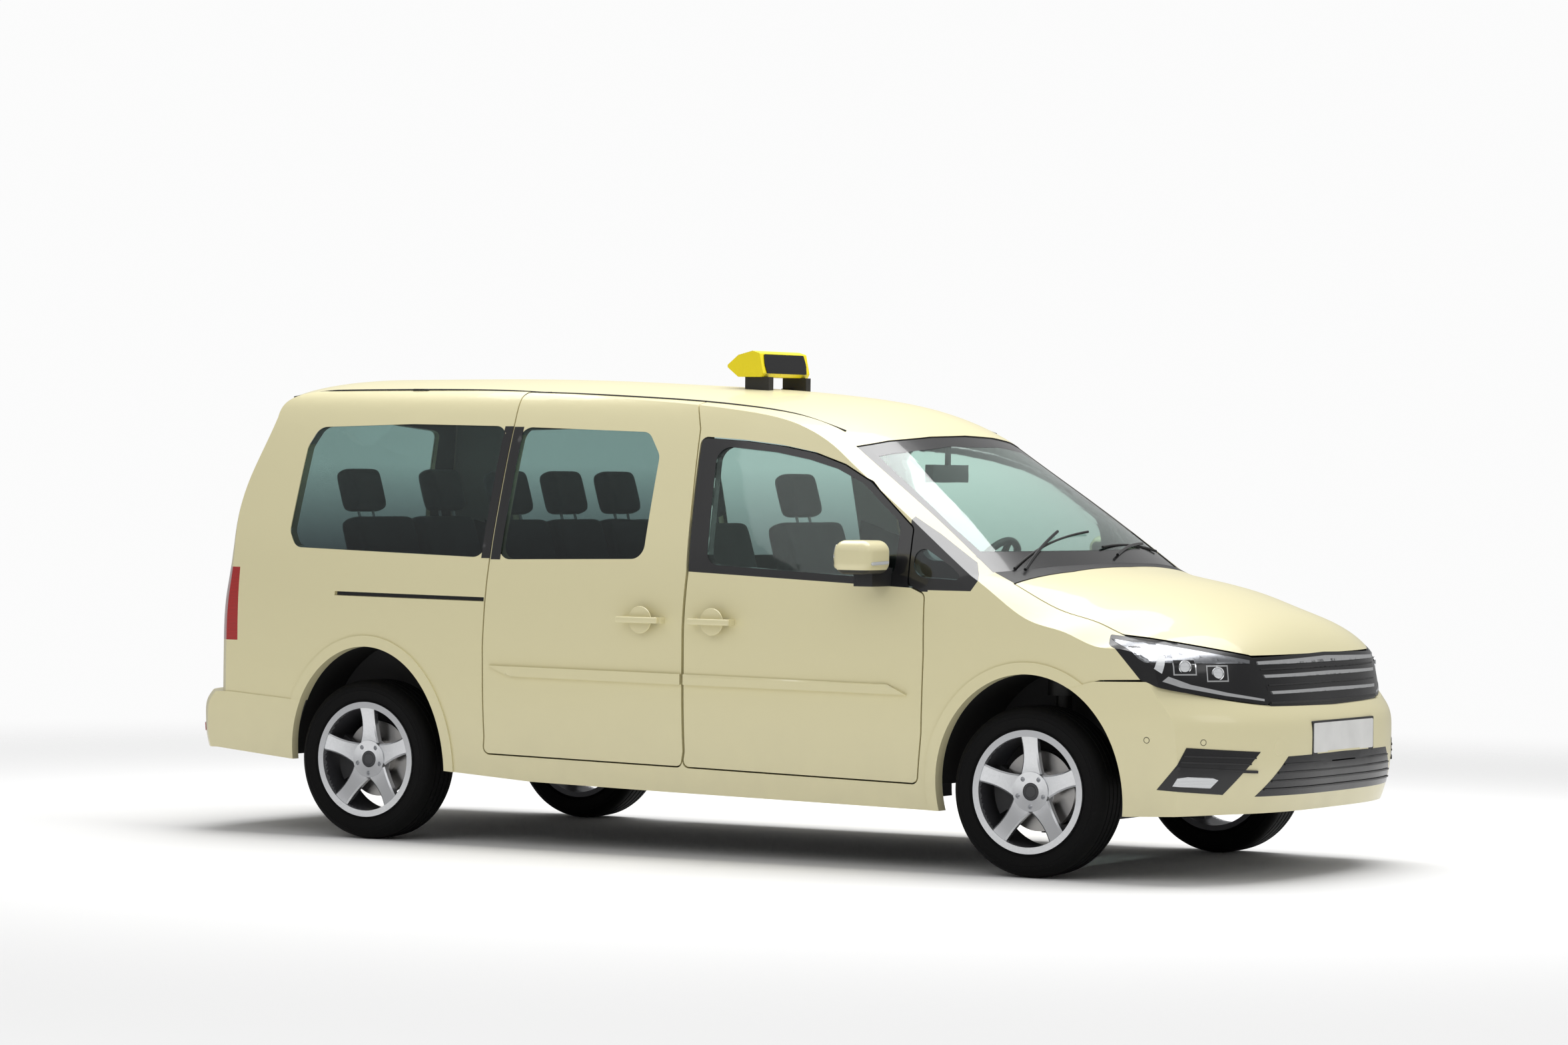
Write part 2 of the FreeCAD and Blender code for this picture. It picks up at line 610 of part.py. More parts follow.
# Bumpers
FRONT_BUMPER_REGION = along(FRONT_BUMPER_REGION_SHARES)
REAR_BUMPER_REGION = along(REAR_BUMPER_REGION_SHARES)
front_bumper_prism = side_prism(FRONT_BUMPER_REGION, 0.0, -HALF_WIDTH - OVERRUN)
rear_bumper_prism = side_prism(REAR_BUMPER_REGION, 0.0, -HALF_WIDTH - OVERRUN)
front_bumper_opening = side_prism(grown(FRONT_BUMPER_REGION, SEAM_GAP), 0.0, -HALF_WIDTH - OVERRUN)
rear_bumper_opening = side_prism(grown(REAR_BUMPER_REGION, SEAM_GAP), 0.0, -HALF_WIDTH - OVERRUN)
bumper_shell = bumper_form(0.0).cut(bumper_form(BUMPER_WALL)).cut(INNER)

# Right side frame
wing_prism = side_prism(along(WING_REAR_SHARES), 0.0, 0.0)
scuttle_region = box(0.52 * HALF_LENGTH, 0.66 * HALF_LENGTH, -BONNET_REAR_HALF, BONNET_REAR_HALF,
                     0.55 * HEIGHT, 0.7 * HEIGHT)
wing_opening = side_prism(grown(along(WING_REAR_SHARES), SEAM_GAP), 0.0, 0.0)
lamp_opening = lamp_prism(LAMP_SHARES, SEAM_GAP, 0.0, 2 * HALF_LENGTH)
lamp_region = lamp_prism(LAMP_SHARES, 0.0, 0.0, 2 * HALF_LENGTH)


def biggest(shape):
    """The main solid of a cut, without slivers."""
    return sorted(shape.Solids, key=lambda solid: solid.Volume)[-1]


def solids_over(shape, volume):
    return fuse_all([solid for solid in shape.Solids if solid.Volume > volume])


def arch_band(x, length, rise):
    """Raised lip round a wheel arch, following the side of the body."""
    ring = ellipse_prism(x, length + ARCH_BAND, rise + ARCH_BAND, ARCH_DEPTH).cut(
        ellipse_prism(x, length, rise, ARCH_DEPTH))
    return ARCH_SKIN.common(ring).cut(under_sill)


SIDE_SOLID = side_form(0.0)
ARCH_SKIN = side_form(-ARCH_PROUD).cut(SIDE_SOLID).common(RIGHT_HALF)
RAIL_SKIN = SIDE_SOLID.cut(side_form(RAIL_SLOT_DEPTH)).common(RIGHT_HALF)

frame = (
    RIGHT_SHELL
    .cut(shut_outline(FRONT_DOOR))
    .cut(shut_outline(SLIDING_DOOR))
    .cut(window_cut(QUARTER_GLASS))
    .cut(window_cut(CORNER_GLASS))
    .cut(wing_opening)
    .cut(roof_opening)
    .cut(screen_opening)
    .cut(tailgate_opening)
    .cut(tail_lamp_opening)
    .cut(rear_bumper_opening)
    .cut(rear_arch)
    .cut(under_sill)
    .cut(scuttle_region)
)
rail_slot = RAIL_SKIN.common(side_prism(along(RAIL_SLOT_SHARES), 0.0, CUT_INNER))
frame = biggest(biggest(frame.cut(rail_slot)).fuse(arch_band(REAR_ARCH_X, REAR_ARCH_LENGTH, REAR_ARCH_RISE)
                                                  .cut(rear_bumper_opening)))
NODES["side_frame_right"] = frame
NODES["side_frame_left"] = mirrored(frame)

wing = biggest(
    RIGHT_SHELL.common(wing_prism)
    .cut(bonnet_opening)
    .cut(lamp_opening)
    .cut(front_bumper_opening)
    .cut(grille_opening)
    .cut(front_arch)
    .cut(under_sill)
    .cut(screen_opening)
    .cut(scuttle_region)
)
front_band = arch_band(FRONT_ARCH_X, FRONT_ARCH_LENGTH, FRONT_ARCH_RISE)
wing = biggest(wing.fuse(front_band.cut(front_bumper_opening)))
NODES["front_wings"] = both(wing)

bonnet = SHELL.common(bonnet_prism).cut(grille_opening)
for side in (lambda shape: shape, mirrored):
    bonnet = bonnet.cut(side(lamp_prism(LAMP_SHARES, SHUT_GAP, 0.0, 2 * HALF_LENGTH)))
NODES["bonnet"] = biggest(bonnet)

NODES["roof_panel"] = biggest(SHELL.common(roof_prism).cut(screen_opening))
NODES["windscreen"] = biggest(GLASS_SHELL.common(screen_prism).cut(bonnet_opening))

gate = SHELL.common(tailgate_prism).cut(
    end_prism(rear_glass_outline, WINDOW_CORNER, -HALF_LENGTH, TAILGATE_TOP_X))
NODES["tailgate"] = biggest(gate.cut(rear_bumper_opening))
NODES["tailgate_glass"] = GLASS_SHELL.common(
    end_prism(grown(rear_glass_outline, -GLASS_EDGE), WINDOW_CORNER, -HALF_LENGTH, TAILGATE_TOP_X))
NODES["tail_lamps"] = both(biggest(RIGHT_SHELL.common(tail_lamp_prism)))

front_bumper = bumper_shell.common(front_bumper_prism).cut(grille_opening)
rear_bumper = bumper_shell.common(rear_bumper_prism)
for side in (lambda shape: shape, mirrored):
    front_bumper = front_bumper.cut(side(front_arch)).cut(side(lamp_opening))
    rear_bumper = rear_bumper.cut(side(rear_arch))
NODES["front_bumper"] = biggest(front_bumper)
NODES["rear_bumper"] = biggest(rear_bumper)
NODES["headlamps"] = both(biggest(RIGHT_SHELL.common(lamp_region).cut(NODES["front_bumper"])))
NODES["front_grille"] = biggest(
    SHELL.common(grille_prism).cut(NODES["front_bumper"]).cut(lamp_opening).cut(mirrored(lamp_opening)))

front_door = biggest(
    RIGHT_SHELL.common(side_prism(FRONT_DOOR, DOOR_CORNER, CUT_INNER)).cut(window_cut(FRONT_GLASS)))
front_door = front_door.fuse(ARCH_SKIN.common(side_prism(along(FRONT_MOULDING_SHARES), 0.0, CUT_INNER)))
front_glass = pane(FRONT_GLASS)
sliding_door = biggest(
    RIGHT_SHELL.common(side_prism(SLIDING_DOOR, DOOR_CORNER, CUT_INNER)).cut(window_cut(SLIDING_GLASS)))
sliding_door = sliding_door.fuse(ARCH_SKIN.common(side_prism(along(SLIDING_MOULDING_SHARES), 0.0, CUT_INNER)))


def handle_solid(x):
    """Door grip: a bar on two feet, standing off the skin."""
    skin_y = -HALF_WIDTH
    bar = box(x - HANDLE_LENGTH / 2, x + HANDLE_LENGTH / 2, skin_y - HANDLE_PROUD,
              skin_y - HANDLE_PROUD + HANDLE_BAR, HANDLE_Z - HANDLE_HEIGHT / 2, HANDLE_Z + HANDLE_HEIGHT / 2)
    feet = []
    for end in (-1, 1):
        foot_x = x + end * (HANDLE_LENGTH / 2 - HANDLE_HEIGHT / 2)
        feet.append(box(foot_x - HANDLE_HEIGHT / 2, foot_x + HANDLE_HEIGHT / 2, skin_y - HANDLE_PROUD + HANDLE_BAR / 2,
                        skin_y + SIDE_WALL / 2, HANDLE_Z - HANDLE_HEIGHT / 2, HANDLE_Z + HANDLE_HEIGHT / 2))
    return fuse_all([bar] + feet)


front_door = fuse_all([front_door, handle_solid(FRONT_HANDLE_X)])
sliding_door = fuse_all([sliding_door, handle_solid(SLIDING_HANDLE_X)])
NODES["front_door_right"] = front_door
NODES["front_door_left"] = mirrored(front_door)
NODES["door_glass_right"] = front_glass
NODES["door_glass_left"] = mirrored(front_glass)
NODES["sliding_doors"] = both(sliding_door)
NODES["fixed_side_glass"] = both(Part.makeCompound(
    [biggest(pane(SLIDING_GLASS)), biggest(pane(QUARTER_GLASS)), biggest(pane(CORNER_GLASS))]))


# Wheels, built about the Y axis at the origin with the outer face towards -Y
def turned(points, start=(0.0, 0.0)):
    """Ring or disc from (radius, y) points, turned about the Y axis."""
    corners = [Vec(r, y, 0) for r, y in points]
    corners.append(corners[0])
    return Part.Face(Part.makePolygon(corners)).revolve(Vec(0, 0, 0), Vec(0, 1, 0), 360)


def tyre_solid():
    half = TYRE_WIDTH / 2
    bead = half * 0.86
    outline = [
        Vec(RIM_SEAT_RADIUS, -bead, 0), Vec(RIM_RADIUS + RIM_WALL, -bead, 0),
        Vec(0.5 * (RIM_RADIUS + TYRE_RADIUS), -half, 0), Vec(TYRE_RADIUS - TYRE_CORNER, -half * 0.95, 0),
        Vec(TYRE_RADIUS, -half + TYRE_CORNER, 0), Vec(TYRE_RADIUS, half - TYRE_CORNER, 0),
        Vec(TYRE_RADIUS - TYRE_CORNER, half * 0.95, 0), Vec(0.5 * (RIM_RADIUS + TYRE_RADIUS), half, 0),
        Vec(RIM_RADIUS + RIM_WALL, bead, 0), Vec(RIM_SEAT_RADIUS, bead, 0),
    ]
    right = spline(outline[1:5])
    left = spline(outline[5:9])
    edges = [
        Part.makeLine(outline[0], outline[1]), right, Part.makeLine(outline[4], outline[5]), left,
        Part.makeLine(outline[8], outline[9]), Part.makeLine(outline[9], outline[0]),
    ]
    return Part.Face(Part.Wire(edges)).revolve(Vec(0, 0, 0), Vec(0, 1, 0), 360)


def rim_solid():
    half = TYRE_WIDTH / 2
    bead = half * 0.86
    seat = RIM_SEAT_RADIUS - RUN_GAP
    barrel = turned([
        (RIM_RADIUS, -bead - RIM_WALL), (RIM_RADIUS, -bead - RUN_GAP), (seat, -bead - RUN_GAP),
        (seat, bead + RUN_GAP), (RIM_RADIUS, bead + RUN_GAP), (RIM_RADIUS, bead + RIM_WALL),
        (seat - RIM_WALL, bead + RIM_WALL), (seat - RIM_WALL - 4.0, -bead + SPOKE_DEPTH),
        (RIM_INSIDE_RADIUS, -bead - RIM_WALL),
    ])
    face_y = -bead + SPOKE_DISH
    hub = turned([
        (HUB_BORE_RADIUS, face_y), (HUB_FACE_RADIUS, face_y - 4.0), (HUB_FACE_RADIUS + 6.0, face_y + SPOKE_DEPTH),
        (HUB_BORE_RADIUS, face_y + SPOKE_DEPTH),
    ])
    spokes = []
    for index in range(SPOKE_COUNT):
        wires = []
        for radius, width, y in (
            (HUB_FACE_RADIUS - 8.0, SPOKE_ROOT, face_y),
            (0.5 * (HUB_FACE_RADIUS + RIM_INSIDE_RADIUS), 0.62 * (SPOKE_ROOT + SPOKE_TIP) / 2 + 18.0, face_y - 7.0),
            (RIM_INSIDE_RADIUS + 4.0, SPOKE_TIP + 14.0, -bead - 2.0),
        ):
            corners = [
                Vec(-width / 2, y + 5.0, radius), Vec(-width / 2 + 6.0, y, radius),
                Vec(width / 2 - 6.0, y, radius), Vec(width / 2, y + 5.0, radius),
                Vec(width / 2 - 4.0, y + SPOKE_DEPTH, radius), Vec(-width / 2 + 4.0, y + SPOKE_DEPTH, radius),
            ]
            wires.append(Part.makePolygon(corners + [corners[0]]))
        spoke = Part.makeLoft(wires, True, False)
        spoke.rotate(Vec(0, 0, 0), Vec(0, 1, 0), index * 360.0 / SPOKE_COUNT)
        spokes.append(spoke)
    rim = fuse_all([barrel, hub] + spokes)
    for index in range(SPOKE_COUNT):
        angle = math.radians((index + 0.5) * 360.0 / SPOKE_COUNT)
        place = Vec(LUG_CIRCLE_RADIUS * math.sin(angle), face_y - OVERRUN, LUG_CIRCLE_RADIUS * math.cos(angle))
        rim = rim.cut(Part.makeCylinder(LUG_RADIUS, OVERRUN + LUG_SEAT_DEPTH, place, Vec(0, 1, 0)))
    return rim


def disc_solid():
    bead = TYRE_WIDTH / 2 * 0.86
    back = -bead + SPOKE_DISH + SPOKE_DEPTH + RUN_GAP
    return turned([
        (HUB_BORE_RADIUS, back), (DISC_HAT_RADIUS, back), (DISC_HAT_RADIUS, back + 30.0),
        (DISC_RADIUS, back + 30.0), (DISC_RADIUS, back + 30.0 + DISC_THICKNESS),
        (DISC_HAT_RADIUS - 10.0, back + 30.0 + DISC_THICKNESS), (DISC_HAT_RADIUS - 10.0, back + 10.0),
        (HUB_BORE_RADIUS, back + 10.0),
    ])


tyre = tyre_solid()
rim = rim_solid()
disc = disc_solid()
for side_name, sign in (("right", -1.0), ("left", 1.0)):
    for end_name, axle_x in (("front", FRONT_AXLE_X), ("rear", REAR_AXLE_X)):
        for piece_name, piece in (("tyre", tyre), ("rim", rim), ("brake_disc", disc)):
            placed = piece.copy() if sign < 0 else mirrored(piece)
            placed.translate(Vec(axle_x, sign * TRACK_HALF, TYRE_RADIUS))
            NODES[piece_name + "_" + end_name + "_" + side_name] = placed

# Hub carriers that steer, with hub, calliper and steering arm
BEAD = TYRE_WIDTH / 2 * 0.86
DISC_BACK = -BEAD + SPOKE_DISH + SPOKE_DEPTH + 10.0
hub_start = -TRACK_HALF - BEAD + SPOKE_DISH + SPOKE_DEPTH + 10.0 + 2 * RUN_GAP
hub = Part.makeCylinder(HUB_RADIUS, HUB_LENGTH, Vec(0, hub_start, TYRE_RADIUS), Vec(0, 1, 0))
stub = Part.makeCylinder(HUB_BORE_RADIUS - RUN_GAP, HUB_LENGTH, Vec(0, hub_start - HUB_LENGTH + 30.0, TYRE_RADIUS),
                         Vec(0, 1, 0))
upright = box(-KNUCKLE_WIDTH / 2, KNUCKLE_WIDTH / 2, hub_start + HUB_LENGTH - 10.0,
              hub_start + HUB_LENGTH - 10.0 + KNUCKLE_THICKNESS, TYRE_RADIUS - KNUCKLE_LOW, TYRE_RADIUS + KNUCKLE_HIGH)
arm = box(-170.0, -KNUCKLE_WIDTH / 2 + 10.0, hub_start + HUB_LENGTH - 6.0, hub_start + HUB_LENGTH + 18.0,
          TYRE_RADIUS - 60.0, TYRE_RADIUS - 30.0)
disc_mid = -TRACK_HALF - BEAD + SPOKE_DISH + SPOKE_DEPTH + 30.0 + DISC_THICKNESS / 2


def caliper_solid():
    """Calliper that straddles the rim of the brake disc, behind the axle."""
    half = CALIPER_WIDTH / 2
    ring = Part.makeCylinder(DISC_RADIUS + 26.0, 2 * half, Vec(0, disc_mid - half, 0), Vec(0, 1, 0))
    ring = ring.cut(Part.makeCylinder(DISC_RADIUS - 48.0, 3 * half, Vec(0, disc_mid - 1.5 * half, 0), Vec(0, 1, 0)))
    slot = Part.makeCylinder(DISC_RADIUS + 5.0, DISC_THICKNESS + 10.0,
                             Vec(0, disc_mid - DISC_THICKNESS / 2 - 5.0, 0), Vec(0, 1, 0))
    wedge_points = [(0.0, 0.0)]
    for step in (-0.5, -0.25, 0.0, 0.25, 0.5):
        angle = math.radians(180.0 + step * CALIPER_SPAN_DEG)
        wedge_points.append((400.0 * math.cos(angle), 400.0 * math.sin(angle)))
    corners = [Vec(x, disc_mid - 2 * half, z) for x, z in wedge_points]
    wedge = Part.Face(Part.makePolygon(corners + [corners[0]])).extrude(Vec(0, 4 * half, 0))
    caliper = ring.cut(slot).common(wedge)
    caliper.translate(Vec(0, 0, TYRE_RADIUS))
    return caliper


bridge = box(-DISC_RADIUS - 4.0, -20.0, disc_mid + CALIPER_WIDTH / 2 - 14.0, disc_mid + CALIPER_WIDTH / 2 + 30.0,
             TYRE_RADIUS - 26.0, TYRE_RADIUS + 26.0)
knuckle = fuse_all([hub, stub, upright, arm, caliper_solid(), bridge])
knuckle.translate(Vec(FRONT_AXLE_X, 0, 0))
NODES["knuckle_right"] = knuckle
NODES["knuckle_left"] = mirrored(knuckle)

rear_hub = fuse_all([hub, stub, caliper_solid(), bridge])
rear_hub.translate(Vec(REAR_AXLE_X, 0, 0))
axle_tube = Part.makeCylinder(AXLE_TUBE_RADIUS, 2 * (-hub_start - HUB_LENGTH) + 20.0,
                              Vec(REAR_AXLE_X, hub_start + HUB_LENGTH - 10.0, TYRE_RADIUS), Vec(0, 1, 0))
NODES["rear_axle"] = fuse_all([rear_hub, mirrored(rear_hub), axle_tube])

# Floor, wheel housings and bulkhead
CLEAR_INNER = body_form(SIDE_WALL + 2 * SHUT_GAP, ROOF_WALL + 2 * SHUT_GAP)


def housing(x, length, rise, inner_y):
    """Liner over a wheel, closed on its inner side, open below the axle."""
    long_inner = length + 2 * SHUT_GAP
    rise_inner = rise + 2 * SHUT_GAP
    liner = ellipse_prism(x, long_inner + HOUSING_WALL, rise_inner + HOUSING_WALL, HALF_WIDTH + 2 * OVERRUN - inner_y)
    hollow = ellipse_prism(x, long_inner, rise_inner, HALF_WIDTH + 2 * OVERRUN - inner_y - HOUSING_WALL)
    liner = liner.cut(hollow).common(INNER)
    liner = liner.cut(box(x - 2 * length, x + 2 * length, -HALF_WIDTH - OVERRUN, 0.0, 0.0, ARCH_Z + HOUSING_WALL))
    return liner.cut(Part.makeCylinder(3 * AXLE_TUBE_RADIUS, HALF_WIDTH, Vec(x, -HALF_WIDTH, ARCH_Z), Vec(0, 1, 0)))


rear_housing = housing(REAR_ARCH_X, REAR_ARCH_LENGTH, REAR_ARCH_RISE, HOUSING_INNER_Y)
front_housing = housing(FRONT_ARCH_X, FRONT_ARCH_LENGTH + 4 * SHUT_GAP, FRONT_ARCH_RISE + 2 * SHUT_GAP,
                        FRONT_HOUSING_INNER_Y - OVERRUN)
rear_void = ellipse_prism(REAR_ARCH_X, REAR_ARCH_LENGTH + 3 * SHUT_GAP, REAR_ARCH_RISE + 3 * SHUT_GAP,
                          HALF_WIDTH + 2 * OVERRUN - HOUSING_INNER_Y)
front_void = ellipse_prism(FRONT_ARCH_X, FRONT_ARCH_LENGTH + 7 * SHUT_GAP, FRONT_ARCH_RISE + 5 * SHUT_GAP,
                           HALF_WIDTH + 2 * OVERRUN - FRONT_HOUSING_INNER_Y + OVERRUN)
floor_plate = box(-0.935 * HALF_LENGTH, BULKHEAD_X, -FLOOR_HALF_WIDTH, FLOOR_HALF_WIDTH,
                  FLOOR_TOP_Z - FLOOR_THICKNESS, FLOOR_TOP_Z).common(CLEAR_INNER)
floor_parts = [floor_plate]
SILL_X0 = REAR_ARCH_X + REAR_ARCH_LENGTH + 4 * SHUT_GAP
SILL_X1 = 1150.0
SILL_STEP_Z = 325.0
sill_low = box(SILL_X0, SILL_X1, -HALF_WIDTH, -0.84 * FLOOR_HALF_WIDTH, 0.150 * HEIGHT, SILL_STEP_Z).common(INNER)
sill_low = sill_low.cut(under_sill)
sill_high = box(SILL_X0, SILL_X1, -HALF_WIDTH, -0.84 * FLOOR_HALF_WIDTH, SILL_STEP_Z,
                FLOOR_TOP_Z).common(CLEAR_INNER)
rail = box(-0.93 * HALF_LENGTH, BULKHEAD_X, -RAIL_Y - RAIL_WIDTH / 2, -RAIL_Y + RAIL_WIDTH / 2,
           FLOOR_TOP_Z - FLOOR_THICKNESS - RAIL_DEPTH, FLOOR_TOP_Z - FLOOR_THICKNESS)
for side in (lambda shape: shape, mirrored):
    floor_parts.extend([side(sill_low), side(sill_high), side(rail)])
floor = fuse_all(floor_parts)
axle_gap = box(REAR_AXLE_X - 3 * AXLE_TUBE_RADIUS, REAR_AXLE_X + 3 * AXLE_TUBE_RADIUS, -HALF_WIDTH, HALF_WIDTH,
               0.0, FLOOR_TOP_Z - FLOOR_THICKNESS)
floor = floor.cut(axle_gap)
for side in (lambda shape: shape, mirrored):
    floor = floor.cut(side(rear_void)).cut(side(front_void))
bulkhead = box(BULKHEAD_X, BULKHEAD_X + BULKHEAD_THICKNESS, -FLOOR_HALF_WIDTH, FLOOR_HALF_WIDTH,
               FLOOR_TOP_Z - FLOOR_THICKNESS - RAIL_DEPTH, 0.590 * HEIGHT).common(CLEAR_INNER)
for side in (lambda shape: shape, mirrored):
    bulkhead = bulkhead.cut(side(front_void))
floor = fuse_all([floor, bulkhead, rear_housing, mirrored(rear_housing), front_housing, mirrored(front_housing)])
print("floor solids", [round(s.Volume / 1e6, 3) for s in floor.Solids])
NODES["floor_pan"] = floor

# Scuttle between the windscreen and the bonnet
NODES["scuttle"] = biggest(SHELL.common(scuttle_region).cut(screen_opening).cut(bonnet_opening))

# Front subframe, engine and underfloor tank
chassis_rail = box(BULKHEAD_X + BULKHEAD_THICKNESS, 0.945 * HALF_LENGTH, -RAIL_Y + RAIL_WIDTH, -RAIL_Y + 2 * RAIL_WIDTH,
                   0.24 * HEIGHT, 0.285 * HEIGHT)
beam_x = 0.945 * HALF_LENGTH
bumper_beam = box(beam_x - BEAM_DEPTH, beam_x, -0.62 * HALF_WIDTH, 0.62 * HALF_WIDTH, 0.225 * HEIGHT, 0.292 * HEIGHT)
cross = box(FRONT_AXLE_X - 1.6 * BEAM_DEPTH, FRONT_AXLE_X + 1.6 * BEAM_DEPTH, -RAIL_Y + RAIL_WIDTH, RAIL_Y - RAIL_WIDTH,
            0.105 * HEIGHT, 0.130 * HEIGHT)
post = box(FRONT_AXLE_X - 1.6 * BEAM_DEPTH, FRONT_AXLE_X + 1.6 * BEAM_DEPTH, -RAIL_Y + RAIL_WIDTH,
           -RAIL_Y + 1.3 * RAIL_WIDTH, 0.130 * HEIGHT, 0.24 * HEIGHT)
lower_arm = box(FRONT_AXLE_X - BEAM_DEPTH / 2, FRONT_AXLE_X + BEAM_DEPTH / 2, -KINGPIN_Y - ARM_THICKNESS,
                -RAIL_Y + RAIL_WIDTH, 0.085 * HEIGHT, 0.085 * HEIGHT + ARM_THICKNESS)
arm_root = box(FRONT_AXLE_X - 1.6 * BEAM_DEPTH, FRONT_AXLE_X + 1.6 * BEAM_DEPTH, -RAIL_Y + RAIL_WIDTH,
               -RAIL_Y + 1.3 * RAIL_WIDTH, 0.085 * HEIGHT, 0.105 * HEIGHT)
subframe_parts = [bumper_beam, cross]
for side in (lambda shape: shape, mirrored):
    subframe_parts.extend([side(chassis_rail), side(post), side(lower_arm), side(arm_root)])
NODES["front_subframe"] = fuse_all(subframe_parts)
strut = Part.makeCylinder(STRUT_RADIUS, 0.16 * HEIGHT, Vec(FRONT_AXLE_X, -0.655 * HALF_WIDTH, 0.275 * HEIGHT))
spring = Part.makeCylinder(SPRING_RADIUS, 0.08 * HEIGHT, Vec(FRONT_AXLE_X, -0.655 * HALF_WIDTH, 0.360 * HEIGHT))
NODES["front_struts"] = both(sorted(fuse_all([strut, spring]).cut(NODES["floor_pan"]).Solids,
                                    key=lambda solid: solid.CenterOfMass.z)[0])
NODES["engine"] = box(0.62 * HALF_LENGTH, 0.86 * HALF_LENGTH, -RAIL_Y + 2 * RAIL_WIDTH,
                      RAIL_Y - 2 * RAIL_WIDTH, 0.160 * HEIGHT, 0.480 * HEIGHT)
NODES["underfloor_tank"] = box(-0.36 * HALF_LENGTH, 0.14 * HALF_LENGTH, -RAIL_Y + RAIL_WIDTH, RAIL_Y - RAIL_WIDTH,
                               0.125 * HEIGHT, FLOOR_TOP_Z - FLOOR_THICKNESS)
rear_spring = Part.makeCylinder(SPRING_RADIUS, FLOOR_TOP_Z - FLOOR_THICKNESS - TYRE_RADIUS - AXLE_TUBE_RADIUS,
                                Vec(REAR_AXLE_X, -0.42 * HALF_WIDTH, TYRE_RADIUS + AXLE_TUBE_RADIUS))
NODES["rear_springs"] = both(rear_spring)

# Dashboard, steering column and steering wheel
dash_points = [(0.372 * HALF_LENGTH, 0.430 * HEIGHT), (0.380 * HALF_LENGTH, 0.566 * HEIGHT),
               (0.412 * HALF_LENGTH, 0.585 * HEIGHT), (BULKHEAD_X, 0.588 * HEIGHT), (BULKHEAD_X, 0.335 * HEIGHT),
               (0.432 * HALF_LENGTH, 0.325 * HEIGHT)]
dash_wire = rounded_wire(dash_points, SOFT_CORNER, lambda x, z: Vec(x, -HALF_WIDTH, z))
dashboard = Part.Face(dash_wire).extrude(Vec(0, 2 * HALF_WIDTH, 0)).common(CLEAR_INNER)
for side in (lambda shape: shape, mirrored):
    dashboard = dashboard.cut(side(front_void))
NODES["dashboard"] = biggest(dashboard)
column_tilt = math.radians(COLUMN_DEG)
column_axis = Vec(-math.cos(column_tilt), 0, math.sin(column_tilt))
wheel_centre = Vec(STEERING_X, SEAT_Y, STEERING_Z)
column_end = wheel_centre - column_axis * COLUMN_LENGTH
column = Part.makeCylinder(COLUMN_RADIUS, COLUMN_LENGTH - 2 * STEERING_GRIP - SHUT_GAP, column_end, column_axis)
NODES["steering_column"] = biggest(column.cut(NODES["dashboard"]))
rim_ring = Part.makeTorus(STEERING_RADIUS - STEERING_GRIP, STEERING_GRIP)
boss = Part.makeCylinder(0.42 * STEERING_RADIUS, 3 * STEERING_GRIP, Vec(0, 0, -2 * STEERING_GRIP))
steering_parts = [rim_ring, boss]
for angle in (180.0, 0.0, 270.0):
    spoke = box(0.3 * STEERING_RADIUS, STEERING_RADIUS - 1.2 * STEERING_GRIP, -STEERING_GRIP, STEERING_GRIP,
                -0.8 * STEERING_GRIP, 0.2 * STEERING_GRIP)
    spoke.rotate(Vec(0, 0, 0), Vec(0, 0, 1), angle)
    steering_parts.append(spoke)
steering = fuse_all(steering_parts)
steering.Placement = FreeCAD.Placement(wheel_centre, FreeCAD.Rotation(Vec(0, 0, 1), column_axis))
NODES["steering_wheel"] = steering


# Seats
def soft_box(x0, x1, y0, y1, z0, z1, radius):
    block = box(x0, x1, y0, y1, z0, z1)
    return block.makeFillet(radius, block.Edges)


def seat_solid(x, y, width, rest_places):
    """Cushion, leaning back and head restraints of one seat; x is where back and cushion meet."""
    cushion = soft_box(x - 0.2 * SEAT_DEPTH, x + SEAT_DEPTH, y - width / 2, y + width / 2,
                       CUSHION_TOP_Z - CUSHION_THICKNESS, CUSHION_TOP_Z, SOFT_CORNER)
    back = soft_box(-BACK_THICKNESS, 0.0, y - width / 2 + SOFT_GAP, y + width / 2 - SOFT_GAP, 0.0, BACK_HEIGHT,
                    SOFT_CORNER)
    parts = [back]
    for place in rest_places:
        neck = box(-0.6 * BACK_THICKNESS, -0.4 * BACK_THICKNESS, y + place - 0.2 * HEADREST_WIDTH,
                   y + place + 0.2 * HEADREST_WIDTH, BACK_HEIGHT - SOFT_CORNER, BACK_HEIGHT + SOFT_CORNER)
        rest = soft_box(-HEADREST_THICKNESS - 0.1 * BACK_THICKNESS, -0.1 * BACK_THICKNESS,
                        y + place - HEADREST_WIDTH / 2, y + place + HEADREST_WIDTH / 2,
                        BACK_HEIGHT + 0.3 * SOFT_CORNER, BACK_HEIGHT + 0.3 * SOFT_CORNER + HEADREST_HEIGHT, SOFT_CORNER)
        parts.extend([neck, rest])
    leaning = fuse_all(parts)
    leaning.rotate(Vec(0, 0, 0), Vec(0, 1, 0), -BACK_LEAN_DEG)
    leaning.translate(Vec(x, 0, CUSHION_TOP_Z - 0.5 * CUSHION_THICKNESS))
    return fuse_all([cushion, leaning])


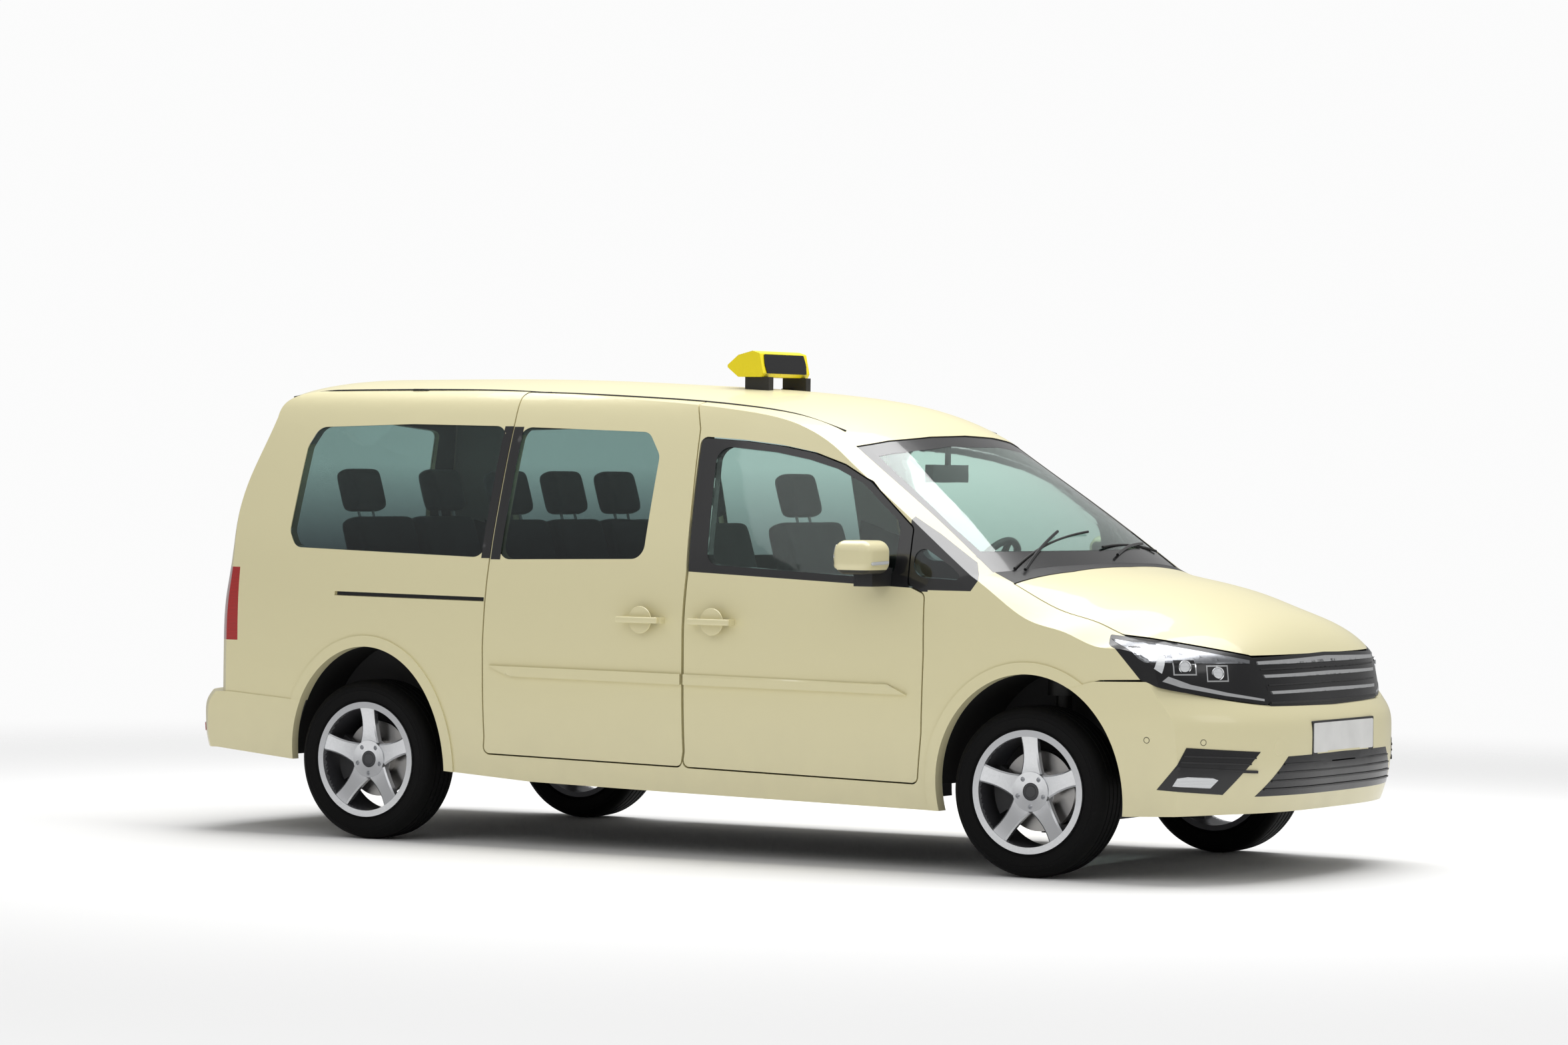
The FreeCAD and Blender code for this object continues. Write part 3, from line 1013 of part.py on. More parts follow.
NODES["front_seat_right"] = seat_solid(FRONT_SEAT_X, -SEAT_Y, SEAT_WIDTH, (0.0,))
NODES["front_seat_left"] = mirrored(NODES["front_seat_right"])
rests = (-0.34 * BENCH_WIDTH, 0.0, 0.34 * BENCH_WIDTH)
NODES["second_seat_row"] = seat_solid(SECOND_SEAT_X, 0.0, BENCH_WIDTH, rests)
NODES["third_seat_row"] = seat_solid(THIRD_SEAT_X, 0.0, BENCH_WIDTH - 8 * SOFT_CORNER, rests[::2])
bases = []
for x, half, centres in ((FRONT_SEAT_X, 0.32 * SEAT_WIDTH, (-SEAT_Y, SEAT_Y)), (SECOND_SEAT_X, 0.4 * BENCH_WIDTH, (0.0,)),
                         (THIRD_SEAT_X, 0.3 * BENCH_WIDTH, (0.0,))):
    for centre in centres:
        bases.append(box(x, x + 0.8 * SEAT_DEPTH, centre - half, centre + half, FLOOR_TOP_Z,
                         CUSHION_TOP_Z - CUSHION_THICKNESS))
NODES["seat_bases"] = Part.makeCompound(bases)

# Door mirrors
housing_box = box(MIRROR_X - MIRROR_DEPTH / 2, MIRROR_X + MIRROR_DEPTH / 2, -MIRROR_Y, -MIRROR_ROOT_Y, MIRROR_LOW_Z,
                  MIRROR_HIGH_Z)
mirror_head = housing_box.makeFillet(MIRROR_CORNER, housing_box.Edges)
mirror_foot = box(MIRROR_X - 0.25 * MIRROR_DEPTH, MIRROR_X + 0.25 * MIRROR_DEPTH, -MIRROR_ROOT_Y - 2 * MIRROR_CORNER,
                  -0.94 * HALF_WIDTH, 0.575 * HEIGHT, MIRROR_LOW_Z + MIRROR_CORNER / 2)
mirror = fuse_all([mirror_head, mirror_foot]).cut(front_door).cut(front_glass)
NODES["door_mirror_right"] = biggest(mirror)
NODES["door_mirror_left"] = mirrored(NODES["door_mirror_right"])
mirror_block = box(0.288 * HALF_LENGTH, 0.302 * HALF_LENGTH, -0.16 * HALF_WIDTH, 0.16 * HALF_WIDTH, 0.783 * HEIGHT,
                   0.820 * HEIGHT)
stalk = box(0.293 * HALF_LENGTH, 0.300 * HALF_LENGTH, -0.01 * HALF_WIDTH, 0.01 * HALF_WIDTH, 0.820 * HEIGHT,
            HEIGHT).common(INNER)
NODES["interior_mirror"] = biggest(fuse_all([mirror_block, stalk]).cut(NODES["windscreen"]).cut(NODES["roof_panel"]))

# Roof sign on two posts
sign_points = [(SIGN_X, SIGN_LOW_Z + 0.10 * SIGN_DEPTH), (SIGN_X - 0.10 * SIGN_DEPTH, SIGN_HIGH_Z - 0.06 * SIGN_DEPTH),
               (SIGN_X - 0.30 * SIGN_DEPTH, SIGN_HIGH_Z), (SIGN_X - 0.70 * SIGN_DEPTH, SIGN_HIGH_Z - 0.10 * SIGN_DEPTH),
               (SIGN_X - SIGN_DEPTH, SIGN_HIGH_Z - 0.34 * SIGN_DEPTH), (SIGN_X - SIGN_DEPTH, SIGN_HIGH_Z - 0.40 * SIGN_DEPTH),
               (SIGN_X - 0.70 * SIGN_DEPTH, SIGN_LOW_Z), (SIGN_X - 0.05 * SIGN_DEPTH, SIGN_LOW_Z)]
sign_wire = rounded_wire(sign_points, SIGN_PANEL, lambda x, z: Vec(x, -SIGN_HALF_WIDTH, z))
sign = Part.Face(sign_wire).extrude(Vec(0, 2 * SIGN_HALF_WIDTH, 0))
NODES["roof_sign"] = sign
post_x = SIGN_X - 0.85 * SIGN_POST_LENGTH
sign_post = box(post_x, post_x + SIGN_POST_LENGTH, -0.9 * SIGN_HALF_WIDTH, -0.9 * SIGN_HALF_WIDTH + SIGN_POST_WIDTH,
                0.95 * HEIGHT, SIGN_LOW_Z).cut(OUTER)
NODES["sign_stand"] = both(biggest(sign_post))
print({k: len(v.Solids) for k, v in NODES.items()})

os.makedirs("parts", exist_ok=True)
for name, shape in NODES.items():
    shape.exportStep("parts/" + name + ".step")
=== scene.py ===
import json
import math

import bmesh
import bpy
from mathutils import Matrix, Vector
from mathutils.bvhtree import BVHTree


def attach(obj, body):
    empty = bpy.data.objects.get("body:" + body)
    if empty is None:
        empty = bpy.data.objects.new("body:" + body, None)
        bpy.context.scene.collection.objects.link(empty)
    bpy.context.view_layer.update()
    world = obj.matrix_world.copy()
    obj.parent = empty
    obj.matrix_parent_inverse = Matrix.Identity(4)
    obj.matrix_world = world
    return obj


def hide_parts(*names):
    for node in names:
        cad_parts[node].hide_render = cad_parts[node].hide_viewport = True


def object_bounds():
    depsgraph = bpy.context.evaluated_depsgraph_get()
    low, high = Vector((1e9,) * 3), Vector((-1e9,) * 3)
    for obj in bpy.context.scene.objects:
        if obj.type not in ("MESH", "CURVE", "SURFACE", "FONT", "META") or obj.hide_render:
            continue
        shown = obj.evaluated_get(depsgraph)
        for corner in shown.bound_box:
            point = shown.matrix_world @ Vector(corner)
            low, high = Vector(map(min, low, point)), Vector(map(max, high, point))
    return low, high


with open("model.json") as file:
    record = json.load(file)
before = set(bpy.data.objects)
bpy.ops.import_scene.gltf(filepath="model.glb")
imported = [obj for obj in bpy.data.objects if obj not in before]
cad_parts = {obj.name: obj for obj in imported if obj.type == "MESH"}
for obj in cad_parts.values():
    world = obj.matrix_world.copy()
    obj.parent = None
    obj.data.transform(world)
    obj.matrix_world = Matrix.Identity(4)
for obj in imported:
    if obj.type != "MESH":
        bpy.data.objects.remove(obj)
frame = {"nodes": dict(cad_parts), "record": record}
start_low, start_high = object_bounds()
nodes = frame["nodes"]
body_of = {}
for body_name, members in frame["record"]["behaviour"]["bodies"].items():
    for member in members:
        body_of[member] = body_name
slot_of = {entry["node"]: entry["material_slot"] for entry in frame["record"]["subparts"]}

# Sizes that several pieces share, in metres
HALF_LENGTH = 2.439
HALF_WIDTH = 0.89
HEIGHT = 1.853
NOSE_X = start_high[0] - 0.0004
AXLE_FRONT_X = 1.561
AXLE_REAR_X = -1.445
AXLE_Z = 0.3184
SIDES = (("right", -1.0), ("left", 1.0))
WHEEL_PLACES = [end + "_" + side for end in ("front", "rear") for side, sign in SIDES]


# Material helpers
def feed(node, inputs):
    """Gives each input its value, or links it where the value is another node's output."""
    for key, value in inputs.items():
        if isinstance(value, bpy.types.NodeSocket):
            node.id_data.links.new(value, node.inputs[key])
        else:
            node.inputs[key].default_value = value


def add_node(graph, kind, inputs, **settings):
    made = graph.nodes.new(kind)
    for key, value in settings.items():
        setattr(made, key, value)
    feed(made, inputs)
    return made


def node_graph(name):
    """Empty material with its shader and the object's own coordinates, ready for more nodes."""
    material = bpy.data.materials.new(name)
    material.use_nodes = True
    graph = material.node_tree
    shader = graph.nodes["Principled BSDF"]
    place = add_node(graph, "ShaderNodeTexCoord", {}).outputs["Object"]
    return material, shader, place


def arithmetic(operation, first, *others, clamp=False):
    inputs = dict(enumerate((first, *others)))
    made = add_node(first.id_data, "ShaderNodeMath", inputs, operation=operation, use_clamp=clamp)
    return made.outputs[0]


def height_in(place):
    return add_node(place.id_data, "ShaderNodeSeparateXYZ", {0: place}).outputs["Z"]


def noise(place, scale, detail=2.0):
    inputs = {"Vector": place, "Scale": scale, "Detail": detail}
    return add_node(place.id_data, "ShaderNodeTexNoise", inputs).outputs["Fac"]


def wave(place, direction, scale, distortion=0.0, profile="SIN"):
    inputs = {"Vector": place, "Scale": scale, "Distortion": distortion}
    made = add_node(place.id_data, "ShaderNodeTexWave", inputs, bands_direction=direction,
                    wave_profile=profile)
    return made.outputs["Fac"]


def dust_group():
    """Mask of road dust that gathers low on the body, with a fine mottle."""
    group = bpy.data.node_groups.new("road_dust", "ShaderNodeTree")
    for name, kind in (("Place", "Vector"), ("Height", "Float"), ("Amount", "Float")):
        group.interface.new_socket(name, in_out="INPUT", socket_type="NodeSocket" + kind)
    group.interface.new_socket("Mask", in_out="OUTPUT", socket_type="NodeSocketFloat")
    inside = group.nodes.new("NodeGroupInput").outputs
    fall = arithmetic("SUBTRACT", inside["Height"], height_in(inside["Place"]))
    level = arithmetic("MULTIPLY", fall, DUST_FALL, clamp=True)
    mottled = arithmetic("MULTIPLY", level, noise(inside["Place"], 7.0, 8.0))
    scaled = arithmetic("MULTIPLY", mottled, inside["Amount"], clamp=True)
    add_node(group, "NodeGroupOutput", {"Mask": scaled})
    return group


DUST_FALL = 1.8
DUST_TOP_Z = 0.6
ROAD_DUST = dust_group()


def add_bump(shader, height, strength, depth):
    bump_inputs = {"Height": height, "Strength": strength, "Distance": depth}
    bump = add_node(shader.id_data, "ShaderNodeBump", bump_inputs)
    feed(shader, {"Normal": bump.outputs["Normal"]})


def add_tone(shader, mask, first, second):
    """Colour that goes from the first to the second with the mask."""
    mix = add_node(shader.id_data, "ShaderNodeMix", {}, data_type="RGBA")
    feed(mix, {0: mask, 6: (*first, 1), 7: (*second, 1)})
    feed(shader, {"Base Color": mix.outputs[2]})


def add_roughness(shader, mask, low, high):
    spread_inputs = {"Value": mask, "To Min": low, "To Max": high}
    spread = add_node(shader.id_data, "ShaderNodeMapRange", spread_inputs)
    feed(shader, {"Roughness": spread.outputs[0]})


def painted(name, colour, dust_colour, roughness=0.36, coat=0.35, dust_amount=0.7):
    """Gloss body paint with a faint ripple in the lacquer and dust along the sills."""
    material, shader, place = node_graph(name)
    dust_inputs = {"Place": place, "Height": DUST_TOP_Z, "Amount": dust_amount}
    dust = add_node(shader.id_data, "ShaderNodeGroup", dust_inputs, node_tree=ROAD_DUST).outputs["Mask"]
    add_tone(shader, dust, colour, dust_colour)
    add_roughness(shader, dust, roughness, 0.75)
    add_bump(shader, noise(place, 260.0), 0.03, 0.0006)
    feed(shader, {"Coat Weight": coat, "Coat Roughness": 0.05})
    return material


def plastic(name, colour, roughness, grain_scale, grain_depth, second=None):
    """Moulded plastic with an even grain."""
    material, shader, place = node_graph(name)
    grain = add_node(shader.id_data, "ShaderNodeTexVoronoi", {"Vector": place, "Scale": grain_scale})
    add_bump(shader, grain.outputs["Distance"], 0.35, grain_depth)
    mottle = noise(place, 9.0)
    add_tone(shader, mottle, colour, second or tuple(0.75 * c + 0.01 for c in colour))
    add_roughness(shader, mottle, roughness - 0.05, roughness + 0.07)
    return material


def metal(name, colour, roughness, scratch=120.0, depth=0.00015, metallic=1.0):
    """Bare or painted metal with fine tooling marks."""
    material, shader, place = node_graph(name)
    marks = noise(place, scratch, 6.0)
    add_roughness(shader, marks, roughness - 0.04, roughness + 0.06)
    add_bump(shader, marks, 0.2, depth)
    add_tone(shader, marks, colour, tuple(0.85 * c for c in colour))
    feed(shader, {"Metallic": metallic})
    return material


def pane_material(name, painted_reflection_low, painted_reflection_high):
    """Tinted glass with a faint film, which light passes through; its colour is painted lighter towards its
    top as a painted reflection, and darker lower down as painted shade.
    """
    material, shader, place = node_graph(name)
    add_roughness(shader, noise(place, 3.0), 0.01, 0.03)
    # Painted reflection and shade: the colour goes from the low colour to the high colour as the pane rises
    painted_reflection_inputs = {"Value": height_in(place), "From Min": PAINTED_REFLECTION_LOW_Z, "From Max": PAINTED_REFLECTION_HIGH_Z}
    rise = add_node(shader.id_data, "ShaderNodeMapRange", painted_reflection_inputs)
    add_tone(shader, rise.outputs[0], painted_reflection_low, painted_reflection_high)
    feed(shader, {"Transmission Weight": 1.0, "IOR": 1.45})
    return material


def cloth(name, colour, second, thread=900.0, depth=0.0006):
    """Woven cloth: crossed threads with a soft sheen."""
    material, shader, place = node_graph(name)
    across_threads = wave(place, "Y", thread, 1.5)
    slanted_threads = wave(place, "DIAGONAL", thread * 0.7, 1.5)
    add_bump(shader, arithmetic("MULTIPLY", across_threads, slanted_threads), 0.5, depth)
    fleck = noise(place, 320.0)
    add_tone(shader, fleck, colour, second)
    add_roughness(shader, fleck, 0.82, 0.95)
    feed(shader, {"Sheen Weight": 0.25, "Sheen Roughness": 0.5})
    return material


def rubber(name, colour, cut_scale):
    """Tyre rubber with fine cross cuts in the tread, which follow the tyre's own UV."""
    material, shader, place = node_graph(name)
    turn = add_node(shader.id_data, "ShaderNodeUVMap", {}, uv_map="tread").outputs[0]
    cuts = wave(turn, "X", cut_scale, profile="SAW")
    grain = noise(place, 240.0)
    add_bump(shader, arithmetic("MULTIPLY_ADD", grain, 0.15, cuts), 0.45, 0.0016)
    add_tone(shader, grain, colour, tuple(1.8 * c + 0.001 for c in colour))
    add_roughness(shader, grain, 0.62, 0.8)
    feed(shader, {"Specular IOR Level": 0.14})
    return material


def ribbed_lens(name, colour, rib_scale):
    """Moulded lamp lens with fine upright ribs."""
    material, shader, place = node_graph(name)
    ribs = wave(place, "Z", rib_scale)
    add_bump(shader, ribs, 0.4, 0.0008)
    add_tone(shader, ribs, colour, tuple(0.6 * c for c in colour))
    add_roughness(shader, ribs, 0.08, 0.16)
    feed(shader, {"Coat Weight": 1.0})
    return material


# Heights over which the glass colour is graded, a painted reflection above painted shade
PAINTED_REFLECTION_LOW_Z = 1.08
PAINTED_REFLECTION_HIGH_Z = 1.5
IVORY = painted("ivory_paint", (0.76, 0.7, 0.43), (0.52, 0.48, 0.33))
GLOSS_BLACK = painted("gloss_black_frame", (0.012, 0.012, 0.013), (0.05, 0.045, 0.04), 0.22, 0.6, 0.1)
BLACK_PLASTIC = plastic("grained_black_plastic", (0.012, 0.012, 0.013), 0.46, 900.0, 0.0003)
SMOOTH_BLACK = plastic("smooth_black_plastic", (0.006, 0.006, 0.007), 0.22, 500.0, 0.00004,
                       (0.008, 0.008, 0.009))
TRIM = plastic("door_trim_plastic", (0.055, 0.055, 0.058), 0.6, 700.0, 0.0004)
HEADLINING = cloth("headlining_cloth", (0.46, 0.45, 0.42), (0.4, 0.39, 0.37), 700.0, 0.0004)
CARPET = cloth("floor_carpet", (0.03, 0.03, 0.032), (0.05, 0.05, 0.052), 300.0, 0.0015)
SEAT_CLOTH = cloth("seat_cloth", (0.035, 0.037, 0.041), (0.065, 0.068, 0.075))
# Glass tints, each graded from its low to its high colour as painted reflection and shade
LIGHT_GLASS = pane_material("light_green_glass_painted_reflection", (0.52, 0.64, 0.6), (0.72, 0.88, 0.82))
DARK_GLASS = pane_material("dark_tinted_glass_painted_reflection", (0.14, 0.17, 0.18), (0.42, 0.54, 0.52))
CHROME = metal("bright_chrome", (0.86, 0.87, 0.88), 0.07, 60.0, 0.00003)
LAMP_BRIGHT = metal("lamp_reflector", (0.34, 0.35, 0.37), 0.22, 60.0, 0.00003)
ALLOY = metal("alloy_silver", (0.7, 0.71, 0.73), 0.24, metallic=0.85)
DARK_CAP = plastic("dark_wheel_cap", (0.045, 0.046, 0.05), 0.3, 400.0, 0.0001)
STEEL = metal("plated_steel", (0.5, 0.5, 0.51), 0.3)
RUBBER = plastic("seal_rubber", (0.012, 0.012, 0.012), 0.7, 600.0, 0.0003)
TYRE_RUBBER = rubber("tyre_rubber", (0.0018, 0.0018, 0.0019), 26.0)
LINER = plastic("arch_liner_felt", (0.004, 0.004, 0.004), 0.85, 300.0, 0.0006)
# Near-black metal on the rim barrel: painted shade inside the wheel
PAINTED_SHADE_BARREL = metal("wheel_barrel_painted_shade", (0.1, 0.1, 0.11), 0.42, metallic=0.6)
UNDERSEAL = metal("underseal_metal", (0.03, 0.03, 0.032), 0.55, metallic=0.3)
RED_LENS = ribbed_lens("red_lamp_lens", (0.5, 0.01, 0.008), 55.0)
FOG_LENS = ribbed_lens("fog_lamp_lens", (0.8, 0.82, 0.84), 70.0)
PLATE_WHITE = plastic("plate_white", (0.84, 0.84, 0.82), 0.32, 900.0, 0.00005)
MIRROR_GLASS = metal("mirror_silver", (0.9, 0.91, 0.92), 0.05, 20.0, 0.00001)
FINISHES = {
    "paint": IVORY,
    "glass": LIGHT_GLASS,
    "red_lens": RED_LENS,
    "lamp_lens": pane_material("clear_lamp_cover_painted_reflection", (0.97, 0.98, 0.98), (0.95, 0.97, 0.97)),
    "black_plastic": BLACK_PLASTIC,
    "dark_plastic": plastic("underbody_plastic", (0.03, 0.03, 0.03), 0.6, 300.0, 0.0004),
    "sign_yellow": plastic("sign_yellow_plastic", (0.86, 0.74, 0.015), 0.28, 200.0, 0.00005,
                           (0.84, 0.7, 0.015)),
    "dark_metal": UNDERSEAL,
    "engine_metal": metal("cast_metal", (0.25, 0.25, 0.26), 0.45),
    "seat_fabric": SEAT_CLOTH,
    "tyre": TYRE_RUBBER,
    "alloy": ALLOY,
    "disc_steel": metal("disc_steel", (0.42, 0.41, 0.4), 0.3, 300.0),
}
NODE_FINISHES = {
    "fixed_side_glass": DARK_GLASS,
    "tailgate_glass": DARK_GLASS,
    "headlamps": SMOOTH_BLACK,
    "front_grille": SMOOTH_BLACK,
    "dashboard": TRIM,
    "floor_pan": CARPET,
    "front_struts": BLACK_PLASTIC,
    "rear_springs": BLACK_PLASTIC,
}

# Looks: a piece's slot in the record, then its material
PAINTED = ("paint", IVORY)
SMOOTH = ("black_plastic", SMOOTH_BLACK)
GRAINED = ("black_plastic", BLACK_PLASTIC)
GLOSSY = ("black_plastic", GLOSS_BLACK)
SEAL = ("black_plastic", RUBBER)
BRIGHT = ("alloy", CHROME)
PLATED = ("alloy", STEEL)
FROSTED = ("lamp_lens", FOG_LENS)
BLANK = ("lamp_lens", PLATE_WHITE)


# Mesh helpers
def in_scene(name, data):
    made = bpy.data.objects.new(name, data)
    bpy.context.scene.collection.objects.link(made)
    return made


def add_piece(name, data, look, body):
    """Object that rides on a body, with the materials of its look."""
    slot_name, *materials = look
    for material in materials:
        data.materials.append(material)
    made = in_scene(name, data)
    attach(made, body)
    return made


def finish_piece(shape, name, look, body="body", angle_deg=32.0):
    """Piece from a mesh in hand, smooth where it curves."""
    limit = math.radians(angle_deg)
    for face in shape.faces:
        face.smooth = True
    for edge in shape.edges:
        edge.smooth = len(edge.link_faces) == 2 and edge.calc_face_angle(0.0) < limit
    mesh = bpy.data.meshes.new(name)
    shape.to_mesh(mesh)
    shape.free()
    return add_piece(name, mesh, look, body)


def split_along(shape, planes):
    for point, normal in planes:
        geometry = shape.verts[:] + shape.edges[:] + shape.faces[:]
        bmesh.ops.bisect_plane(shape, geom=geometry, dist=0.00001, plane_co=point, plane_no=normal)


# Material number that a sorter gives to faces to be deleted
CUT_AWAY = 9


def dressed(node_name, materials=None, planes=(), sort_face=None):
    """Merged, smooth-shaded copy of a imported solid, standing for it."""
    shape = bmesh.new()
    shape.from_mesh(nodes[node_name].data)
    bmesh.ops.remove_doubles(shape, verts=shape.verts, dist=0.00002)
    split_along(shape, planes)
    if sort_face:
        shape.normal_update()
        for face in shape.faces:
            face.material_index = sort_face(face.calc_center_median(), face.normal)
        covered = [face for face in shape.faces if face.material_index == CUT_AWAY]
        bmesh.ops.delete(shape, geom=covered, context="FACES")
    slot_name = slot_of[node_name]
    finish = NODE_FINISHES.get(node_name, FINISHES[slot_name])
    look = (slot_name, *(materials or [finish]))
    made = finish_piece(shape, node_name + "_skin", look, body_of[node_name])
    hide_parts(node_name)


def surface_of(*node_names):
    """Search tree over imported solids, to lay pieces on them."""
    points = []
    faces = []
    for node_name in node_names:
        first = len(points)
        mesh = nodes[node_name].data
        points.extend(vertex.co.copy() for vertex in mesh.vertices)
        faces.extend(tuple(first + index for index in polygon.vertices) for polygon in mesh.polygons)
    return BVHTree.FromPolygons(points, faces)


ABOVE_ALL_Z = 3.0
BEHIND_ALL_X = -4.0
AHEAD_OF_ALL_X = 4.0
BESIDE_ALL_Y = 2.0


def met_from_above(tree, x, y):
    """Point and normal where a line straight down meets a surface."""
    return tree.ray_cast(Vector((x, y, ABOVE_ALL_Z)), Vector((0, 0, -1)))[:2]


def met_from_behind(tree, y, z):
    return tree.ray_cast(Vector((BEHIND_ALL_X, y, z)), Vector((1, 0, 0)))[0]


def on_side(points, sign):
    """Points of the left side, or their mirror image on the right."""
    return [(x, sign * y, z) for x, y, z in points]


def bevelled_box(size, radius, segments=3, only_along=None):
    """Box about the origin; only_along keeps its rounding to edges that run along that axis."""
    shape = bmesh.new()
    bmesh.ops.create_cube(shape, size=1.0)
    bmesh.ops.scale(shape, vec=size, verts=shape.verts)
    edges = shape.edges[:]
    if only_along is not None:
        edges = [e for e in edges if abs((e.verts[0].co - e.verts[1].co).normalized()[only_along]) > 0.9]
    bmesh.ops.bevel(shape, geom=edges, offset=radius, segments=segments, profile=0.5, affect="EDGES",
                    material=-1)
    return shape


def rounded_block(name, low, high, radius, look, segments=3, only_along=None, body="body"):
    low = Vector(low)
    high = Vector(high)
    shape = bevelled_box(high - low, radius, segments, only_along)
    bmesh.ops.translate(shape, vec=(low + high) / 2, verts=shape.verts)
    finish_piece(shape, name, look, body)


def spin(shape, points, edges, axis, steps):
    bmesh.ops.spin(shape, geom=points + edges, cent=(0, 0, 0), axis=axis, steps=steps, angle=2 * math.pi,
                   use_merge=True)
    bmesh.ops.remove_doubles(shape, verts=shape.verts, dist=0.00001)
    bmesh.ops.recalc_face_normals(shape, faces=shape.faces)


def turned_piece(name, profile, centre, axis, look, steps=48, body="body"):
    """Ring or knob turned about an axis, from (radius, distance along the axis) points."""
    shape = bmesh.new()
    previous = None
    for radius, height in profile:
        vertex = shape.verts.new((radius, 0.0, height))
        if previous:
            shape.edges.new((previous, vertex))
        previous = vertex
    spin(shape, shape.verts[:], shape.edges[:], (0, 0, 1), steps)
    turn = Vector(axis).to_track_quat("Z", "Y").to_matrix().to_4x4()
    bmesh.ops.transform(shape, matrix=Matrix.Translation(Vector(centre)) @ turn, verts=shape.verts)
    finish_piece(shape, name, look, body)


def bent_rod(name, points, radius, look, body="body"):
    """Smooth rod through a few points."""
    data = bpy.data.curves.new(name, "CURVE")
    data.dimensions = "3D"
    data.bevel_depth = radius
    data.bevel_resolution = 3
    data.use_fill_caps = True
    spline = data.splines.new("NURBS")
    spline.points.add(len(points) - 1)
    for control, point in zip(spline.points, points):
        control.co = (*point, 1.0)
    spline.order_u = 3
    spline.use_endpoint_u = True
    spline.resolution_u = 8
    add_piece(name, data, look, body)


def thicken(shape, thickness):
    bmesh.ops.solidify(shape, geom=shape.faces[:], thickness=thickness)
    bmesh.ops.recalc_face_normals(shape, faces=shape.faces)


PATCH_THICKNESS = 0.003


def laid_patch(name, tree, corners, outward, lift, look, steps, round_off=0.0, body="body"):
    """Thin patch on a surface: its four corners stand off the body and are carried in onto it."""
    outward = Vector(outward)
    a, b, c, d = (Vector(corner) for corner in corners)
    shape = bmesh.new()
    bmesh.ops.create_grid(shape, x_segments=steps[0], y_segments=steps[1], size=0.5)
    for vertex in shape.verts:
        u = vertex.co.x + 0.5
        v = vertex.co.y + 0.5
        if round_off:
            edge = max(0.0, abs(u - 0.5) * 2 - (1 - round_off)) / round_off
            v = 0.5 + (v - 0.5) * math.sqrt(max(0.0, 1 - 0.98 * edge * edge))
        start = (a * (1 - u) + b * u) * (1 - v) + (d * (1 - u) + c * u) * v
        hit = tree.ray_cast(start, -outward)[0]
        vertex.co = (hit if hit is not None else start) + outward * lift
    bmesh.ops.recalc_face_normals(shape, faces=shape.faces)
    if shape.faces[:][0].normal.dot(outward) < 0:
        bmesh.ops.reverse_faces(shape, faces=shape.faces[:])
    thicken(shape, -PATCH_THICKNESS)
    finish_piece(shape, name, look, body)


PATCH_SPACING = 0.012
PATCH_FOOT = 0.002


def outline_patch(name, tree, outline, view, lift, look, body="body"):
    """Trim of any outline: it stands off the body as the view places it, and is carried in onto it."""
    place, outward = view
    shape = bmesh.new()
    shape.faces.new([shape.verts.new(place(u, v)) for u, v in outline])
    bmesh.ops.triangulate(shape, faces=shape.faces[:])
    for axis in range(3):
        low = min(vertex.co[axis] for vertex in shape.verts)
        high = max(vertex.co[axis] for vertex in shape.verts)
        steps = int((high - low) / PATCH_SPACING)
        normal = Vector([1.0 if index == axis else 0.0 for index in range(3)])
        levels = [low + (step + 1) * (high - low) / (steps + 1) for step in range(steps)]
        split_along(shape, [(normal * level, normal) for level in levels])
    found = []
    missed = []
    for vertex in shape.verts:
        hit = tree.ray_cast(vertex.co, -outward)[0]
        if hit is None:
            missed.append(vertex)
        else:
            vertex.co = hit
            found.append(hit)
    for vertex in missed:
        offsets = [point - vertex.co for point in found]
        nearest = min((offset.cross(outward).length, offset.dot(outward)) for offset in offsets)
        vertex.co += outward * nearest[1]
    for vertex in shape.verts:
        vertex.co += outward * lift
        vertex.co.x = min(vertex.co.x, NOSE_X)
    base = bmesh.ops.extrude_face_region(shape, geom=shape.faces[:], use_keep_orig=True)
    foot = [item for item in base["geom"] if isinstance(item, bmesh.types.BMVert)]
    bmesh.ops.translate(shape, vec=outward * -(lift + PATCH_FOOT), verts=foot)
    bmesh.ops.recalc_face_normals(shape, faces=shape.faces)
    finish_piece(shape, name, look, body)


def lay_patches(patches, tree, view, ending=""):
    for label, lift, look, outline in patches:
        outline_patch(label + ending, tree, outline, view, lift, look)


# Views: a function from an outline's two numbers to a point off the body, and the way out
FRONT_VIEW = (lambda u, v: Vector((AHEAD_OF_ALL_X, u * HALF_WIDTH, v * HEIGHT)), Vector((1, 0, 0)))


def side_view(sign):
    return (lambda u, v: Vector((u * HALF_LENGTH, sign * BESIDE_ALL_Y, v * HEIGHT)), Vector((0.0, sign, 0.0)))


def lamp_view(sign):
    """Headlamps and fog lamps are laid along their own slanted axis, from metres across and up."""
    axis = Vector((math.cos(LAMP_TURN), sign * math.sin(LAMP_TURN), 0.0))
    across = Vector((math.sin(LAMP_TURN), -sign * math.cos(LAMP_TURN), 0.0))
    return (lambda u, v: across * u + Vector((0.0, 0.0, v)) + axis * LAMP_STAND_OFF, axis)


def box_outline(u, v, half_width, half_height):
    signs = ((-1, -1), (1, -1), (1, 1), (-1, 1))
    return [(u + across * half_width, v + up * half_height) for across, up in signs]


def mirrored_outline(points):
    return list(points) + [(-u, v) for u, v in reversed(points) if u > 0]


